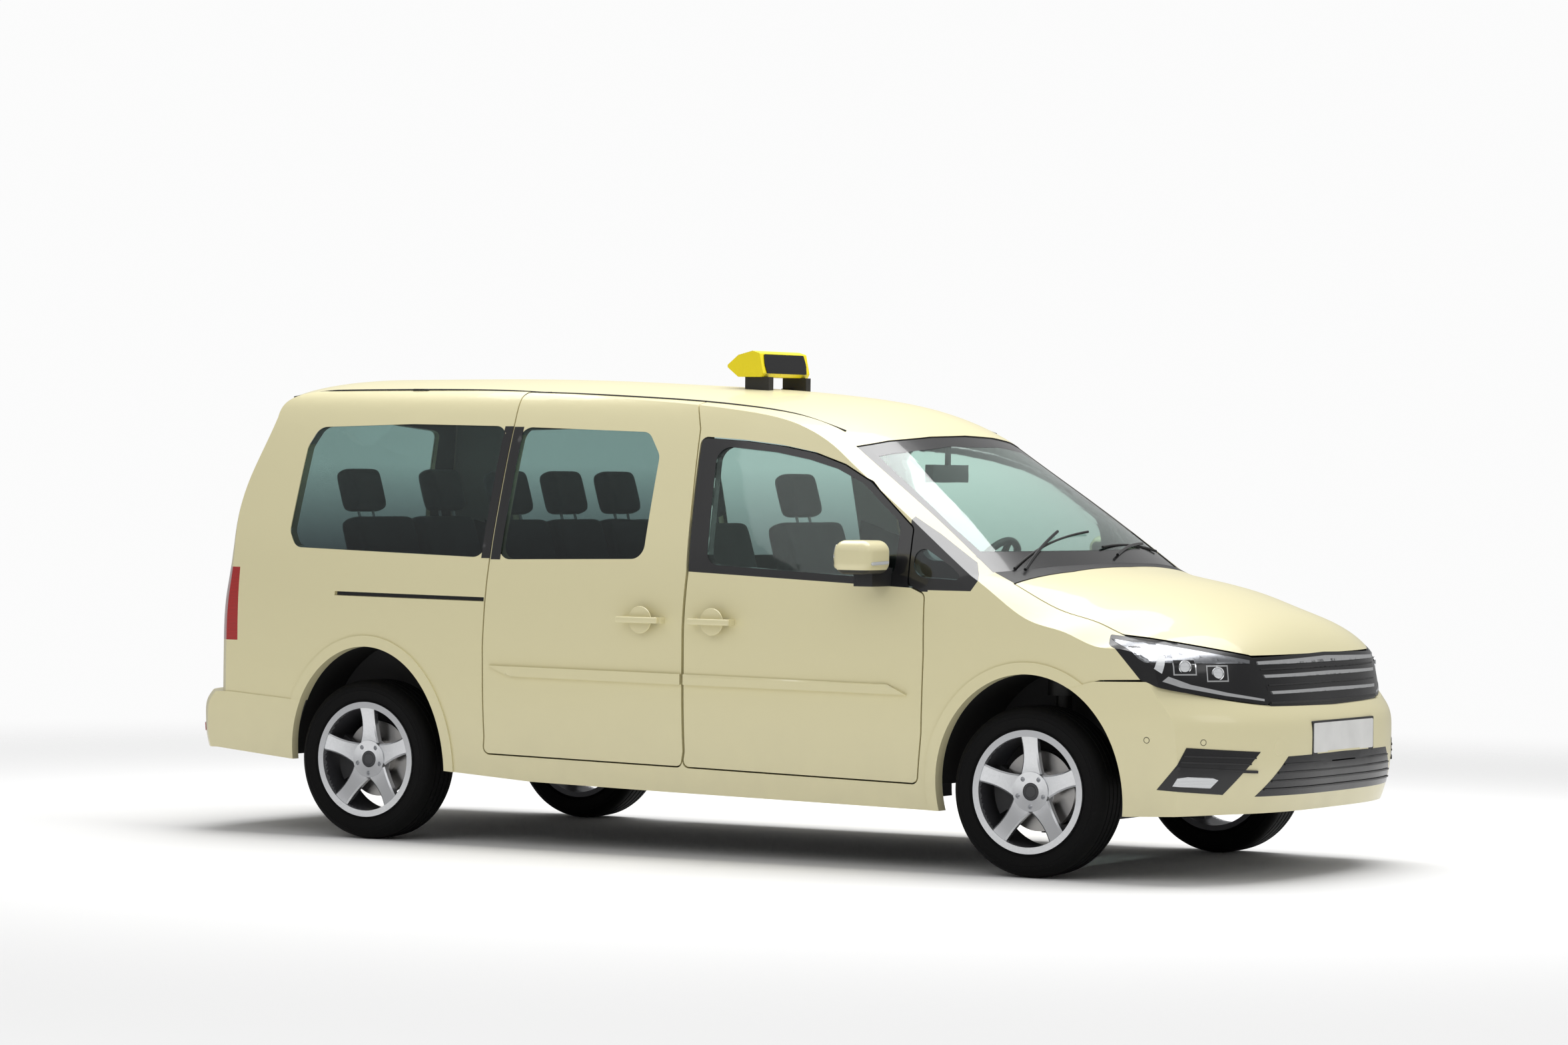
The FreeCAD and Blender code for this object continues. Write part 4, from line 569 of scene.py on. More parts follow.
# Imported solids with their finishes
BELT_FRONT = (1.046, 1.062)
BELT_REAR = (0.08, 1.101)
FRAME_FOOT_Z = 1.048
FRAME_POINTS = ((1.046, 1.318), (1.138, 1.262), (1.291, 1.159), (1.353, 1.085))
FRAME_REAR_X = 1.03
ROOF_LINING_Z = 1.25
INNER_SKIN_Z = 0.46
CABIN_HALF_WIDTH = 0.8
CABIN_FRONT_X = 1.2


def line_plane(first, second):
    """Plane across the car through two (x, z) points, with its upper side positive."""
    run = Vector((second[0] - first[0], 0.0, second[1] - first[1]))
    normal = Vector((-run.z, 0.0, run.x))
    if normal.z < 0:
        normal = -normal
    return (Vector((first[0], 0.0, first[1])), normal.normalized())


def over(plane, point):
    return (point - plane[0]).dot(plane[1]) > 0


belt = line_plane(BELT_REAR, BELT_FRONT)
frame_foot = line_plane((1.0, FRAME_FOOT_Z), (1.4, FRAME_FOOT_Z))
frame_edges = [line_plane(FRAME_POINTS[i], FRAME_POINTS[i + 1]) for i in range(len(FRAME_POINTS) - 1)]
frame_rear = (Vector((FRAME_REAR_X, 0.0, 0.0)), Vector((1.0, 0.0, 0.0)))


def faces_in(centre, normal):
    """True for a face that looks into the cabin."""
    return normal.y * centre.y < -0.35 * abs(centre.y) or (centre.z > ROOF_LINING_Z and normal.z < -0.4)


def door_face(centre, normal):
    if faces_in(centre, normal):
        return 2
    return 1 if over(belt, centre) else 0


def frame_face(centre, normal):
    """Black corner ahead of the front door's glass, lining inside, paint elsewhere."""
    if faces_in(centre, normal):
        return 2 if centre.z < ROOF_LINING_Z else 3
    under_edges = not any(over(edge, centre) for edge in frame_edges)
    return 1 if centre.x > FRAME_REAR_X and over(frame_foot, centre) and under_edges else 0


def panel_face(centre, normal):
    if faces_in(centre, normal):
        return 1 if centre.z < ROOF_LINING_Z else 2
    return 0


def tailgate_face(centre, normal):
    return 1 if normal.x > 0.4 else 0


def underside_face(centre, normal):
    return 1 if normal.z < -0.3 else 0


def floor_face(centre, normal):
    in_cabin = centre.z > INNER_SKIN_Z and abs(centre.y) < CABIN_HALF_WIDTH and centre.x < CABIN_FRONT_X
    return 0 if in_cabin else 1


MIRROR_SPLIT_Z = 1.128
MIRROR_SPLIT_Y = 0.932
mirror_split = (Vector((0.0, 0.0, MIRROR_SPLIT_Z)), Vector((0.0, 0.0, 1.0)))


def mirror_face(centre, normal):
    return 0 if centre.z > MIRROR_SPLIT_Z and abs(centre.y) > MIRROR_SPLIT_Y else 1


RIM_LIP_Y = 0.848
RIM_BARREL_RADIUS = 0.186


def rim_face(centre, normal):
    """Barrel behind the spokes in near-black metal, a painted shade; bright face and lip."""
    axle_x = AXLE_FRONT_X if centre.x > 0 else AXLE_REAR_X
    radius = math.hypot(centre.x - axle_x, centre.z - AXLE_Z)
    looks_out = normal.y * centre.y > 0.25 * abs(centre.y)
    return 0 if looks_out or abs(centre.y) > RIM_LIP_Y or radius < RIM_BARREL_RADIUS else 1


PLATE_HALF = 0.26
PLATE_Z = 0.5265
PLATE_RISE = 0.055
PLATE_LAP = 0.004
CUT_HALF = PLATE_HALF - PLATE_LAP
CUT_RISE = PLATE_RISE - PLATE_LAP
BUMPER_FACE_X = 2.0
plate_edges = [(Vector((0.0, y, 0.0)), Vector((0.0, 1.0, 0.0))) for y in (CUT_HALF, -CUT_HALF)]
plate_edges += [(Vector((0.0, 0.0, PLATE_Z + z)), Vector((0.0, 0.0, 1.0))) for z in (CUT_RISE, -CUT_RISE)]


def bumper_face(centre, normal):
    """The skin behind the plate is cut away, since its crown would come through the plate."""
    covered = abs(centre.y) < CUT_HALF and abs(centre.z - PLATE_Z) < CUT_RISE and centre.x > BUMPER_FACE_X
    return CUT_AWAY if covered else 0


SCREEN_BANDS = (
    (0.045, (60.0, 70.0, 80.0, 85.0, 90.0, 95.0, 100.0, 110.0, 120.0)),
    (0.05, (0.0, 8.0, 16.0, 24.0, 32.0, 45.0, 135.0, 148.0, 156.0, 164.0, 172.0, 180.0)),
    (0.075, (260.0, 270.0, 280.0)),
)


def border_planes(node_name, bands):
    """Planes that shut in a pane seen from the front: each band's width, then where its planes face."""
    points = [vertex.co for vertex in nodes[node_name].data.vertices]
    planes = []
    for width, turns_deg in bands:
        for turn_deg in turns_deg:
            normal = Vector((0.0, math.cos(math.radians(turn_deg)), math.sin(math.radians(turn_deg))))
            planes.append((normal * (max(point.dot(normal) for point in points) - width), normal))
    return planes


screen_border = border_planes("windscreen", SCREEN_BANDS)


def screen_face(centre, normal):
    return 1 if any(over(plane, centre) for plane in screen_border) else 0


# Two-tone solids: their materials, the planes that split them, and what sorts their faces
frame_planes = [frame_foot, frame_rear] + frame_edges
SPECIAL = {
    "windscreen": ([LIGHT_GLASS, GLOSS_BLACK], screen_border, screen_face),
    "front_bumper": ([IVORY], plate_edges, bumper_face),
    "sliding_doors": ([IVORY, TRIM, HEADLINING], [], panel_face),
    "roof_panel": ([IVORY, TRIM, HEADLINING], [], panel_face),
    "tailgate": ([IVORY, TRIM], [], tailgate_face),
    "bonnet": ([IVORY, UNDERSEAL], [], underside_face),
    "floor_pan": ([CARPET, UNDERSEAL], [], floor_face),
}
for side, sign in SIDES:
    SPECIAL["front_door_" + side] = ([IVORY, GLOSS_BLACK, TRIM], [belt], door_face)
    SPECIAL["side_frame_" + side] = ([IVORY, GLOSS_BLACK, TRIM, HEADLINING], frame_planes, frame_face)
    SPECIAL["door_mirror_" + side] = ([IVORY, BLACK_PLASTIC], [mirror_split], mirror_face)
REPLACED_LATER = {"front_seat_right", "front_seat_left", "second_seat_row", "third_seat_row"}
for place_name in WHEEL_PLACES:
    SPECIAL["rim_" + place_name] = ([ALLOY, PAINTED_SHADE_BARREL], [], rim_face)
    REPLACED_LATER.add("tyre_" + place_name)
for node_name in sorted(nodes):
    if node_name not in REPLACED_LATER:
        dressed(node_name, *SPECIAL.get(node_name, ()))

# Wheels: tyres with grooved tread, centre caps and bolts
TRACK_HALF = 0.772
TYRE_HALF = 0.1022
TYRE_RADIUS = 0.318
GROOVE_DEPTH = 0.007
GROOVE_HALF = 0.004
GROOVE_FLOOR_HALF = GROOVE_HALF * 0.6
GROOVE_PLACES = (0.046, 0.016, -0.016, -0.046)
CROWN_FLAT_Y = 0.016
TREAD_EDGE_RADIUS = 0.3
TREAD_REPEATS = 4.0
TREAD_SLANT = 1.2
TYRE_STEPS = 120
SIDE_PROFILE = (
    (0.2165, 0.0865), (0.235, 0.088), (0.24, 0.093), (0.243, 0.096), (0.246, 0.0958), (0.26, 0.0995),
    (0.274, TYRE_HALF), (0.276, TYRE_HALF - 0.0014), (0.286, TYRE_HALF - 0.002), (0.288, TYRE_HALF - 0.0006),
    (0.295, 0.0975), (0.302, 0.0925), (0.308, 0.085), (0.313, 0.076), (0.316, 0.066),
)


def tyre_profile():
    """Half of the outline from the bead to the shoulder, the grooved crown, and the other half."""
    crown = []
    for place in GROOVE_PLACES:
        top = TYRE_RADIUS - (abs(place) - CROWN_FLAT_Y) ** 2
        crown.append((top, place + GROOVE_HALF))
        crown.append((top - GROOVE_DEPTH, place + GROOVE_FLOOR_HALF))
        crown.append((top - GROOVE_DEPTH, place - GROOVE_FLOOR_HALF))
        crown.append((top, place - GROOVE_HALF))
    far_side = [(radius, -across_y) for radius, across_y in reversed(SIDE_PROFILE)]
    return list(SIDE_PROFILE) + crown + far_side


def tyre_piece(name, body, centre):
    """Turned tyre whose tread has a UV that runs round it, for the cross cuts."""
    shape = bmesh.new()
    points = [shape.verts.new((radius, across_y, 0.0)) for radius, across_y in tyre_profile()]
    edges = [shape.edges.new((points[i], points[i + 1])) for i in range(len(points) - 1)]
    edges.append(shape.edges.new((points[-1], points[0])))
    spin(shape, points, edges, (0, 1, 0), TYRE_STEPS)
    tread = shape.loops.layers.uv.new("tread")
    for face in shape.faces:
        turns = [math.atan2(loop.vert.co.z, loop.vert.co.x) / (2 * math.pi) for loop in face.loops]
        wraps = max(turns) - min(turns) > 0.5
        crown = all(math.hypot(loop.vert.co.x, loop.vert.co.z) > TREAD_EDGE_RADIUS for loop in face.loops)
        for loop, turn in zip(face.loops, turns):
            round_share = turn + 1.0 if wraps and turn < 0 else turn
            y = loop.vert.co.y
            loop[tread].uv = (round_share * TREAD_REPEATS + abs(y) * TREAD_SLANT, y) if crown else (0.0, 0.0)
    bmesh.ops.translate(shape, vec=centre, verts=shape.verts)
    return finish_piece(shape, name, ("tyre", TYRE_RUBBER), body, 28.0)


CAP_PROFILE = (
    (0.0, 0.0), (0.02, 0.0006), (0.0215, -0.0012), (0.0245, -0.0012), (0.0262, 0.001), (0.03, 0.0016),
    (0.0325, -0.001), (0.033, -0.006),
)
BOLT_PROFILE = ((0.0, 0.012), (0.0045, 0.0118), (0.0075, 0.0095), (0.0085, 0.0), (0.0085, -0.004))
CAP_FACE_Y = 0.0655
BOLT_FACE_Y = 0.053
BOLT_CIRCLE = 0.057
BOLT_COUNT = 5
BOLT_FIRST_DEG = 11.0
for side, sign in SIDES:
    for end, axle_x in (("front", AXLE_FRONT_X), ("rear", AXLE_REAR_X)):
        place_name = end + "_" + side
        wheel = "wheel_" + place_name
        centre = Vector((axle_x, sign * TRACK_HALF, AXLE_Z))
        outward = Vector((0.0, sign, 0.0))
        tyre = tyre_piece("tyre_" + place_name + "_tread", wheel, centre)
        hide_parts("tyre_" + place_name)
        turned_piece("wheel_cap_" + place_name, CAP_PROFILE, centre + outward * CAP_FACE_Y, outward,
                     ("black_plastic", DARK_CAP), 40, wheel)
        for index in range(BOLT_COUNT):
            turn = math.radians(BOLT_FIRST_DEG + 72.0 * index)
            reach = Vector((BOLT_CIRCLE * math.sin(turn), sign * BOLT_FACE_Y, BOLT_CIRCLE * math.cos(turn)))
            turned_piece("wheel_bolt_" + place_name + "_" + str(index), BOLT_PROFILE, centre + reach, outward,
                         ("disc_steel", STEEL), 6, wheel)

# Headlamps and fog lamps: each patch has its label, lift, look and outline
LAMP_TURN = math.radians(40.0)
LAMP_STAND_OFF = 3.0
LAMP_PATCHES = (
    ("lamp_strip_", 0.0016, ("alloy", LAMP_BRIGHT), (
        (0.584, 0.893), (0.7135, 0.879), (1.072, 0.818), (1.07, 0.806), (0.76, 0.855), (0.68, 0.85),
        (0.646, 0.812), (0.628, 0.826))),
    ("lamp_blade_", 0.0016, BRIGHT, (
        (0.7, 0.744), (0.77, 0.722), (0.95, 0.691), (1.13, 0.668), (1.13, 0.676), (0.96, 0.702),
        (0.81, 0.732), (0.724, 0.762))),
    ("lamp_ribs_", 0.0024, FROSTED, ((0.672, 0.79), (0.7, 0.838), (0.726, 0.836), (0.7, 0.772))),
)
FOG_PATCHES = (
    ("fog_grille_", 0.0022, SMOOTH, (
        (0.7735, 0.505), (1.0835, 0.486), (1.018, 0.423), (0.9248, 0.332), (0.6886, 0.349))),
    ("fog_slat_0_", 0.005, GRAINED, ((0.764, 0.478), (1.066, 0.466), (1.062, 0.461), (0.762, 0.472))),
    ("fog_slat_1_", 0.005, GRAINED, ((0.752, 0.456), (1.044, 0.444), (1.04, 0.439), (0.75, 0.45))),
    ("fog_blade_", 0.006, SMOOTH, ((0.74, 0.436), (1.072, 0.418), (1.072, 0.408), (0.732, 0.424))),
    ("fog_lamp_", 0.003, FROSTED, (
        (0.742, 0.394), (0.78, 0.399), (0.88, 0.394), (0.902, 0.386), (0.872, 0.357), (0.73, 0.364))),
)
CHAMBER_PLACES = ((0.79, 0.796), (0.922, 0.772))
CHAMBER_SIZES = (
    ("lamp_chamber_edge_", 0.046, 0.03, 0.0014, BRIGHT),
    ("lamp_chamber_", 0.041, 0.025, 0.002, SMOOTH),
)
LENS_LIFT = 0.0018
LENS_RADIUS = 0.021
LENS_CROWN = 0.0075
LENS_ANGLES = [math.radians(angle) for angle in range(0, 91, 15)]
LENS_PROFILE = [(LENS_RADIUS * math.sin(angle), LENS_CROWN * math.cos(angle)) for angle in LENS_ANGLES]
BEZEL_PROFILE = ((0.0212, -0.002), (0.0212, 0.003), (0.023, 0.0042), (0.025, 0.003), (0.025, -0.002))
lamp_surface = surface_of("headlamps")
bumper_surface = surface_of("front_bumper")
for side, sign in SIDES:
    view = lamp_view(sign)
    lamp_place, lamp_axis = view
    lay_patches(LAMP_PATCHES, lamp_surface, view, side)
    lay_patches(FOG_PATCHES, bumper_surface, view, side)
    for number, (u, v) in enumerate(CHAMBER_PLACES):
        for label, half_width, half_height, lift, look in CHAMBER_SIZES:
            outline_patch(label + str(number) + "_" + side, lamp_surface,
                          box_outline(u, v, half_width, half_height), view, lift, look)
        seat = lamp_surface.ray_cast(lamp_place(u, v), -lamp_axis)[0] + lamp_axis * LENS_LIFT
        label = "_" + side + "_" + str(number)
        turned_piece("projector_lens" + label, LENS_PROFILE, seat, lamp_axis, FROSTED, 32)
        turned_piece("projector_bezel" + label, BEZEL_PROFILE, seat, lamp_axis, BRIGHT, 32)

# Grilles: strips and slats from the middle to the left end, then mirrored
GRILLE_PATCHES = (
    ("grille_strip_0", 0.004, BRIGHT, ((0.0, 0.4385), (0.56, 0.4325), (0.566, 0.439), (0.0, 0.445))),
    ("grille_strip_1", 0.004, BRIGHT, ((0.0, 0.4085), (0.532, 0.4065), (0.54, 0.4125), (0.0, 0.4145))),
    ("grille_strip_2", 0.004, BRIGHT, ((0.0, 0.3755), (0.5, 0.374), (0.508, 0.38), (0.0, 0.3815))),
    ("grille_slat_0", 0.003, GRAINED, ((0.0, 0.424), (0.548, 0.4215), (0.548, 0.424), (0.0, 0.4265))),
    ("grille_slat_1", 0.003, GRAINED, ((0.0, 0.392), (0.516, 0.3905), (0.516, 0.393), (0.0, 0.3945))),
    ("grille_slat_2", 0.003, GRAINED, ((0.0, 0.353), (0.514, 0.3545), (0.514, 0.359), (0.0, 0.3575))),
)
INTAKE = ((0.0, 0.1725), (0.65, 0.1735), (0.482, 0.251), (0.0, 0.253))
INTAKE_SLATS = ((0.346, 0.612), (0.376, 0.577), (0.406, 0.542), (0.436, 0.507))
INTAKE_SLAT_HALF = 0.0016
whole_patches = [(*labelled, mirrored_outline(outline)) for *labelled, outline in GRILLE_PATCHES]
lay_patches(whole_patches, surface_of("front_grille"), FRONT_VIEW)
outline_patch("intake_grille", bumper_surface, mirrored_outline(INTAKE), FRONT_VIEW, 0.001, SMOOTH)
for number, (height, half_share) in enumerate(INTAKE_SLATS):
    outline = box_outline(0.0, height / HEIGHT, half_share, INTAKE_SLAT_HALF)
    outline_patch("intake_slat_" + str(number), bumper_surface, outline, FRONT_VIEW, 0.006, GRAINED)

# Front bumper: blank plate on its carrier, sensors, towing-eye cover
PLATE_X = start_high[0] - 0.0065
PLATE_CORNER = 0.008
CARRIER_EDGE = 0.008
CARRIER_FOOT = 0.01
rounded_block("front_plate_carrier",
              (PLATE_X - 0.03, -PLATE_HALF - CARRIER_EDGE, PLATE_Z - PLATE_RISE - CARRIER_FOOT),
              (PLATE_X + 0.003, PLATE_HALF + CARRIER_EDGE, PLATE_Z + PLATE_RISE + CARRIER_EDGE), 0.006,
              SMOOTH, 3, 0)
rounded_block("front_plate_blank", (PLATE_X + 0.001, -PLATE_HALF, PLATE_Z - PLATE_RISE),
              (PLATE_X + 0.0055, PLATE_HALF, PLATE_Z + PLATE_RISE), PLATE_CORNER, BLANK, 4, 0)
SENSOR_PROFILE = ((0.0, 0.0018), (0.0085, 0.0016), (0.0098, 0.0004), (0.0099, -0.003))
SENSOR_SEAL = ((0.01, -0.002), (0.0102, 0.001), (0.0116, 0.001), (0.012, -0.002))
SENSOR_PLACES = ((2.07, -0.9, 0.529, 62.0), (2.245, -0.788, 0.524, 38.0))
SENSOR_STAND_OFF = 0.5
TOW_PROFILE = ((0.0, 0.001), (0.029, 0.0008), (0.0305, -0.0004), (0.0325, -0.0004), (0.033, -0.003))
TOW_PLACE = (AHEAD_OF_ALL_X, -0.48, 0.5)
sensors = [(sign, *place) for sign in (1.0, -1.0) for place in SENSOR_PLACES]
for number, (sign, x, y, z, turn_deg) in enumerate(sensors, 1):
    direction = Vector((math.cos(math.radians(turn_deg)), -sign * math.sin(math.radians(turn_deg)), 0.0))
    start = Vector((x, sign * y, z)) + direction * SENSOR_STAND_OFF
    hit, normal = bumper_surface.ray_cast(start, -direction)[:2]
    turned_piece("park_sensor_" + str(number), SENSOR_PROFILE, hit, normal, PAINTED, 24)
    turned_piece("sensor_seal_" + str(number), SENSOR_SEAL, hit, normal, SEAL, 24)
hit, normal = bumper_surface.ray_cast(Vector(TOW_PLACE), Vector((-1, 0, 0)))[:2]
turned_piece("tow_cover", TOW_PROFILE, hit, normal, PAINTED, 40)

# Roof sign: blank black panel on its front, feet of its posts
SIGN_PANEL = ((0.6, -0.158, 1.876), (0.6, 0.158, 1.876), (0.6, 0.158, 1.952), (0.6, -0.158, 1.952))
SIGN_FOOT = ((0.0, 0.0065), (0.02, 0.006), (0.028, 0.003), (0.031, -0.006))
SIGN_FOOT_X = -0.088
SIGN_FOOT_Y = 0.128
laid_patch("sign_blank_panel", surface_of("roof_sign"), SIGN_PANEL, (1, 0, 0), 0.0008, SMOOTH, (48, 8),
           0.06)
roof_top = surface_of("roof_panel")
for side, sign in SIDES:
    hit, normal = met_from_above(roof_top, SIGN_FOOT_X, sign * SIGN_FOOT_Y)
    turned_piece("sign_post_foot_" + side, SIGN_FOOT, hit, normal, SMOOTH, 32)

# Wheel arch liners: place, half length, rise and inner edge of each arch
ARCHES = (("front", 1.563, 0.399, 0.448, 0.44), ("rear", -1.433, 0.387, 0.464, 0.52))
LINER_OUTER_Y = 0.815
LINER_STEPS = 40
LINER_LOW_Z = 0.33
LINER_GAP = 0.012
LINER_THICKNESS = 0.003
for side, sign in SIDES:
    for arch_name, arch_x, half_length, rise, inner_y in ARCHES:
        shape = bmesh.new()
        rim_points = []
        wall_points = []
        for step in range(LINER_STEPS + 1):
            turn = math.pi * step / LINER_STEPS
            x = arch_x + half_length * math.cos(turn)
            z = LINER_LOW_Z + (rise - LINER_GAP) * math.sin(turn)
            rim_points.append(shape.verts.new((x, sign * LINER_OUTER_Y, z)))
            wall_points.append(shape.verts.new((x, sign * inner_y, z)))
        for step in range(LINER_STEPS):
            shape.faces.new(rim_points[step:step + 2] + wall_points[step:step + 2][::-1])
        shape.faces.new(wall_points)
        bmesh.ops.recalc_face_normals(shape, faces=shape.faces)
        thicken(shape, LINER_THICKNESS)
        finish_piece(shape, "arch_liner_" + arch_name + "_" + side, ("black_plastic", LINER))

# Door mirrors: glass and indicator
MIRROR_PANE = ((0.5, 0.948, 1.132), (0.5, 1.098, 1.134), (0.5, 1.092, 1.222), (0.5, 0.956, 1.212))
INDICATOR = ((1.4, 0.965, 1.15), (1.4, 1.09, 1.146), (1.4, 1.09, 1.158), (1.4, 0.965, 1.162))
for side, sign in SIDES:
    body = "front_door_" + side
    mirror_surface = surface_of("door_mirror_" + side)
    laid_patch("mirror_glass_" + side, mirror_surface, on_side(MIRROR_PANE, sign), (-1, 0, 0), 0.001,
               ("alloy", MIRROR_GLASS), (24, 10), 0.12, body)
    laid_patch("mirror_indicator_" + side, mirror_surface, on_side(INDICATOR, sign), (1, 0, 0), 0.0012,
               FROSTED, (24, 3), 0.1, body)

# Slide rails, and roof ditch strips with their caps
SLIDE_RAIL = ((-1.585, BESIDE_ALL_Y, 0.973), (-0.865, BESIDE_ALL_Y, 0.966), (-0.865, BESIDE_ALL_Y, 0.98),
              (-1.585, BESIDE_ALL_Y, 0.987))
DITCH_Y = 0.5985
DITCH_FIRST_X = -2.01
DITCH_LAST_X = 0.61
DITCH_STEPS = 17
DITCH_LIFT = 0.0005
DITCH_RADIUS = 0.0048
DITCH_CAPS = (-1.374, -0.785, -0.018)
DITCH_CAP_HALF = 0.04
DITCH_CAP_HALF_WIDTH = 0.0075
side_surface = surface_of("side_frame_right", "side_frame_left", "sliding_doors", "front_door_right",
                          "front_door_left")
roof_surface = surface_of("roof_panel", "side_frame_right", "side_frame_left", "sliding_doors")
for side, sign in SIDES:
    laid_patch("slide_rail_" + side, side_surface, on_side(SLIDE_RAIL, sign), (0.0, sign, 0.0), 0.002, SMOOTH,
               (40, 2))
    y = sign * DITCH_Y
    strip_points = []
    for step in range(DITCH_STEPS + 1):
        x = DITCH_FIRST_X + step * (DITCH_LAST_X - DITCH_FIRST_X) / DITCH_STEPS
        hit = met_from_above(roof_surface, x, y)[0]
        strip_points.append((hit.x, hit.y, hit.z + DITCH_LIFT))
    bent_rod("roof_ditch_strip_" + side, strip_points, DITCH_RADIUS, SEAL)
    for index, x in enumerate(DITCH_CAPS):
        roof_z = met_from_above(roof_surface, x, y)[0].z
        rounded_block("ditch_cap_" + side + "_" + str(index),
                      (x - DITCH_CAP_HALF, y - DITCH_CAP_HALF_WIDTH, roof_z - 0.004),
                      (x + DITCH_CAP_HALF, y + DITCH_CAP_HALF_WIDTH, roof_z + 0.0052), 0.0035, SMOOTH)

# Door mouldings, black edges of the two rear panes, handles with their cups
FRONT_MOULDING = ((0.031, 0.382), (0.4, 0.377), (0.434, 0.357), (0.031, 0.36))
SIDE_PATCHES = (
    ("sliding_moulding_", 0.006, PAINTED, ((-0.34, 0.385), (0.025, 0.382), (0.025, 0.36), (-0.3, 0.364))),
    ("frame_pane_edge_", 0.0008, GLOSSY, (
        (-0.3492, 0.612), (-0.3492, 0.893), (-0.3655, 0.893), (-0.3655, 0.612))),
    ("door_pane_edge_", 0.0008, GLOSSY, (
        (-0.3285, 0.61), (-0.3285, 0.892), (-0.3468, 0.892), (-0.3468, 0.61))),
)
SLIDING_HANDLE_X = -0.113
FRONT_HANDLE_X = 0.212
HANDLE_HALF = 0.095
HANDLE_HALF_HEIGHT = 0.012
HANDLE_Z = 0.912
HANDLE_PROUD = 0.03
HANDLE_BAR = 0.013
HANDLE_FOOT = 0.026
FOOT_SUNK = 0.002
FOOT_LAP = 0.004
CUP_PROFILE = ((0.0, 0.0006), (0.044, 0.0006), (0.048, 0.002), (0.051, 0.0018), (0.053, -0.002))


def handle_block(name, x, half_length, ends_y, half_height, radius, segments, body):
    rounded_block(name, (x - half_length, min(ends_y), HANDLE_Z - half_height),
                  (x + half_length, max(ends_y), HANDLE_Z + half_height), radius, PAINTED, segments,
                  body=body)


for side, sign in SIDES:
    door_body = "front_door_" + side
    view = side_view(sign)
    outline_patch("front_moulding_" + side, side_surface, FRONT_MOULDING, view, 0.006, PAINTED,
                  door_body)
    lay_patches(SIDE_PATCHES, side_surface, view, side)
    for number, (x, handle_body) in enumerate(((SLIDING_HANDLE_X, "body"), (FRONT_HANDLE_X, door_body))):
        label = "_" + side + "_" + str(number)
        start = Vector((x, sign * BESIDE_ALL_Y, HANDLE_Z))
        hit, normal = side_surface.ray_cast(start, Vector((0, -sign, 0)))[:2]
        turned_piece("handle_cup" + label, CUP_PROFILE, hit, normal, PAINTED, body=handle_body)
        near = hit.y + sign * (HANDLE_PROUD - HANDLE_BAR)
        far = hit.y + sign * HANDLE_PROUD
        handle_block("handle_bar" + label, x, HANDLE_HALF, (near, far), HANDLE_HALF_HEIGHT, 0.0055, 4,
                     handle_body)
        foot_ends = (hit.y - sign * FOOT_SUNK, near + sign * FOOT_LAP)
        for letter, way in (("a", -1.0), ("b", 1.0)):
            foot_x = x + way * (HANDLE_HALF - HANDLE_FOOT)
            handle_block("handle_foot" + label + letter, foot_x, HANDLE_FOOT / 2, foot_ends,
                         HANDLE_HALF_HEIGHT / 2, 0.003, 3, handle_body)

# Rear: reflectors, blank plate and tailgate grip
REFLECTOR = ((BEHIND_ALL_X, 0.64, 0.4), (BEHIND_ALL_X, 0.8, 0.4), (BEHIND_ALL_X, 0.8, 0.432),
             (BEHIND_ALL_X, 0.64, 0.432))
REAR_PLATE_Z = 0.905
rear_surface = surface_of("rear_bumper", "tailgate", "tail_lamps")
for side, sign in SIDES:
    laid_patch("rear_reflector_" + side, rear_surface, on_side(REFLECTOR, sign), (-1, 0, 0), 0.0015,
               ("red_lens", RED_LENS), (16, 3), 0.1)
rear_plate_x = met_from_behind(surface_of("tailgate"), 0.0, REAR_PLATE_Z).x
rounded_block("rear_plate_blank", (rear_plate_x - 0.004, -PLATE_HALF, REAR_PLATE_Z - PLATE_RISE),
              (rear_plate_x + 0.012, PLATE_HALF, REAR_PLATE_Z + PLATE_RISE), PLATE_CORNER, BLANK, 4, 0,
              "tailgate")
rounded_block("tailgate_grip", (-2.352, -0.3, 1.012), (-2.3, 0.3, 1.04), 0.008, SMOOTH, 3, 1,
              "tailgate")

# Wipers: (x, y) points on the windscreen, and (y, z, lift) points on the tailgate
ARM_RADIUS = 0.006
BLADE_RADIUS = 0.005
ARM_LIFT = 0.016
BLADE_LIFT = 0.01
SCREEN_RODS = (
    ("wiper_near_arm", ARM_RADIUS, ARM_LIFT, SMOOTH, ((1.42, -0.64), (1.36, -0.43), (1.32, -0.2))),
    ("wiper_near_blade", BLADE_RADIUS, BLADE_LIFT, SEAL, ((1.385, -0.66), (1.33, -0.33), (1.325, 0.04))),
    ("wiper_far_arm", ARM_RADIUS, ARM_LIFT, SMOOTH, ((1.445, 0.06), (1.375, 0.28), (1.335, 0.48))),
    ("wiper_far_blade", BLADE_RADIUS, BLADE_LIFT, SEAL, ((1.4, 0.02), (1.345, 0.35), (1.315, 0.64))),
)
GATE_RODS = (
    ("rear_wiper_arm", ARM_RADIUS, SMOOTH, ((0.0, 1.085, 0.012), (-0.1, 1.13, 0.014), (-0.33, 1.165, 0.01))),
    ("rear_wiper_blade", BLADE_RADIUS, SEAL, (
        (-0.13, 1.15, 0.006), (-0.32, 1.172, 0.006), (-0.46, 1.178, 0.006))),
)
screen_surface = surface_of("windscreen", "scuttle", "bonnet")
gate_surface = surface_of("tailgate", "tailgate_glass")
for name, radius, lift, look, points in SCREEN_RODS:
    hits = [met_from_above(screen_surface, x, y)[0] for x, y in points]
    bent_rod(name, [(hit.x, hit.y, hit.z + lift) for hit in hits], radius, look)
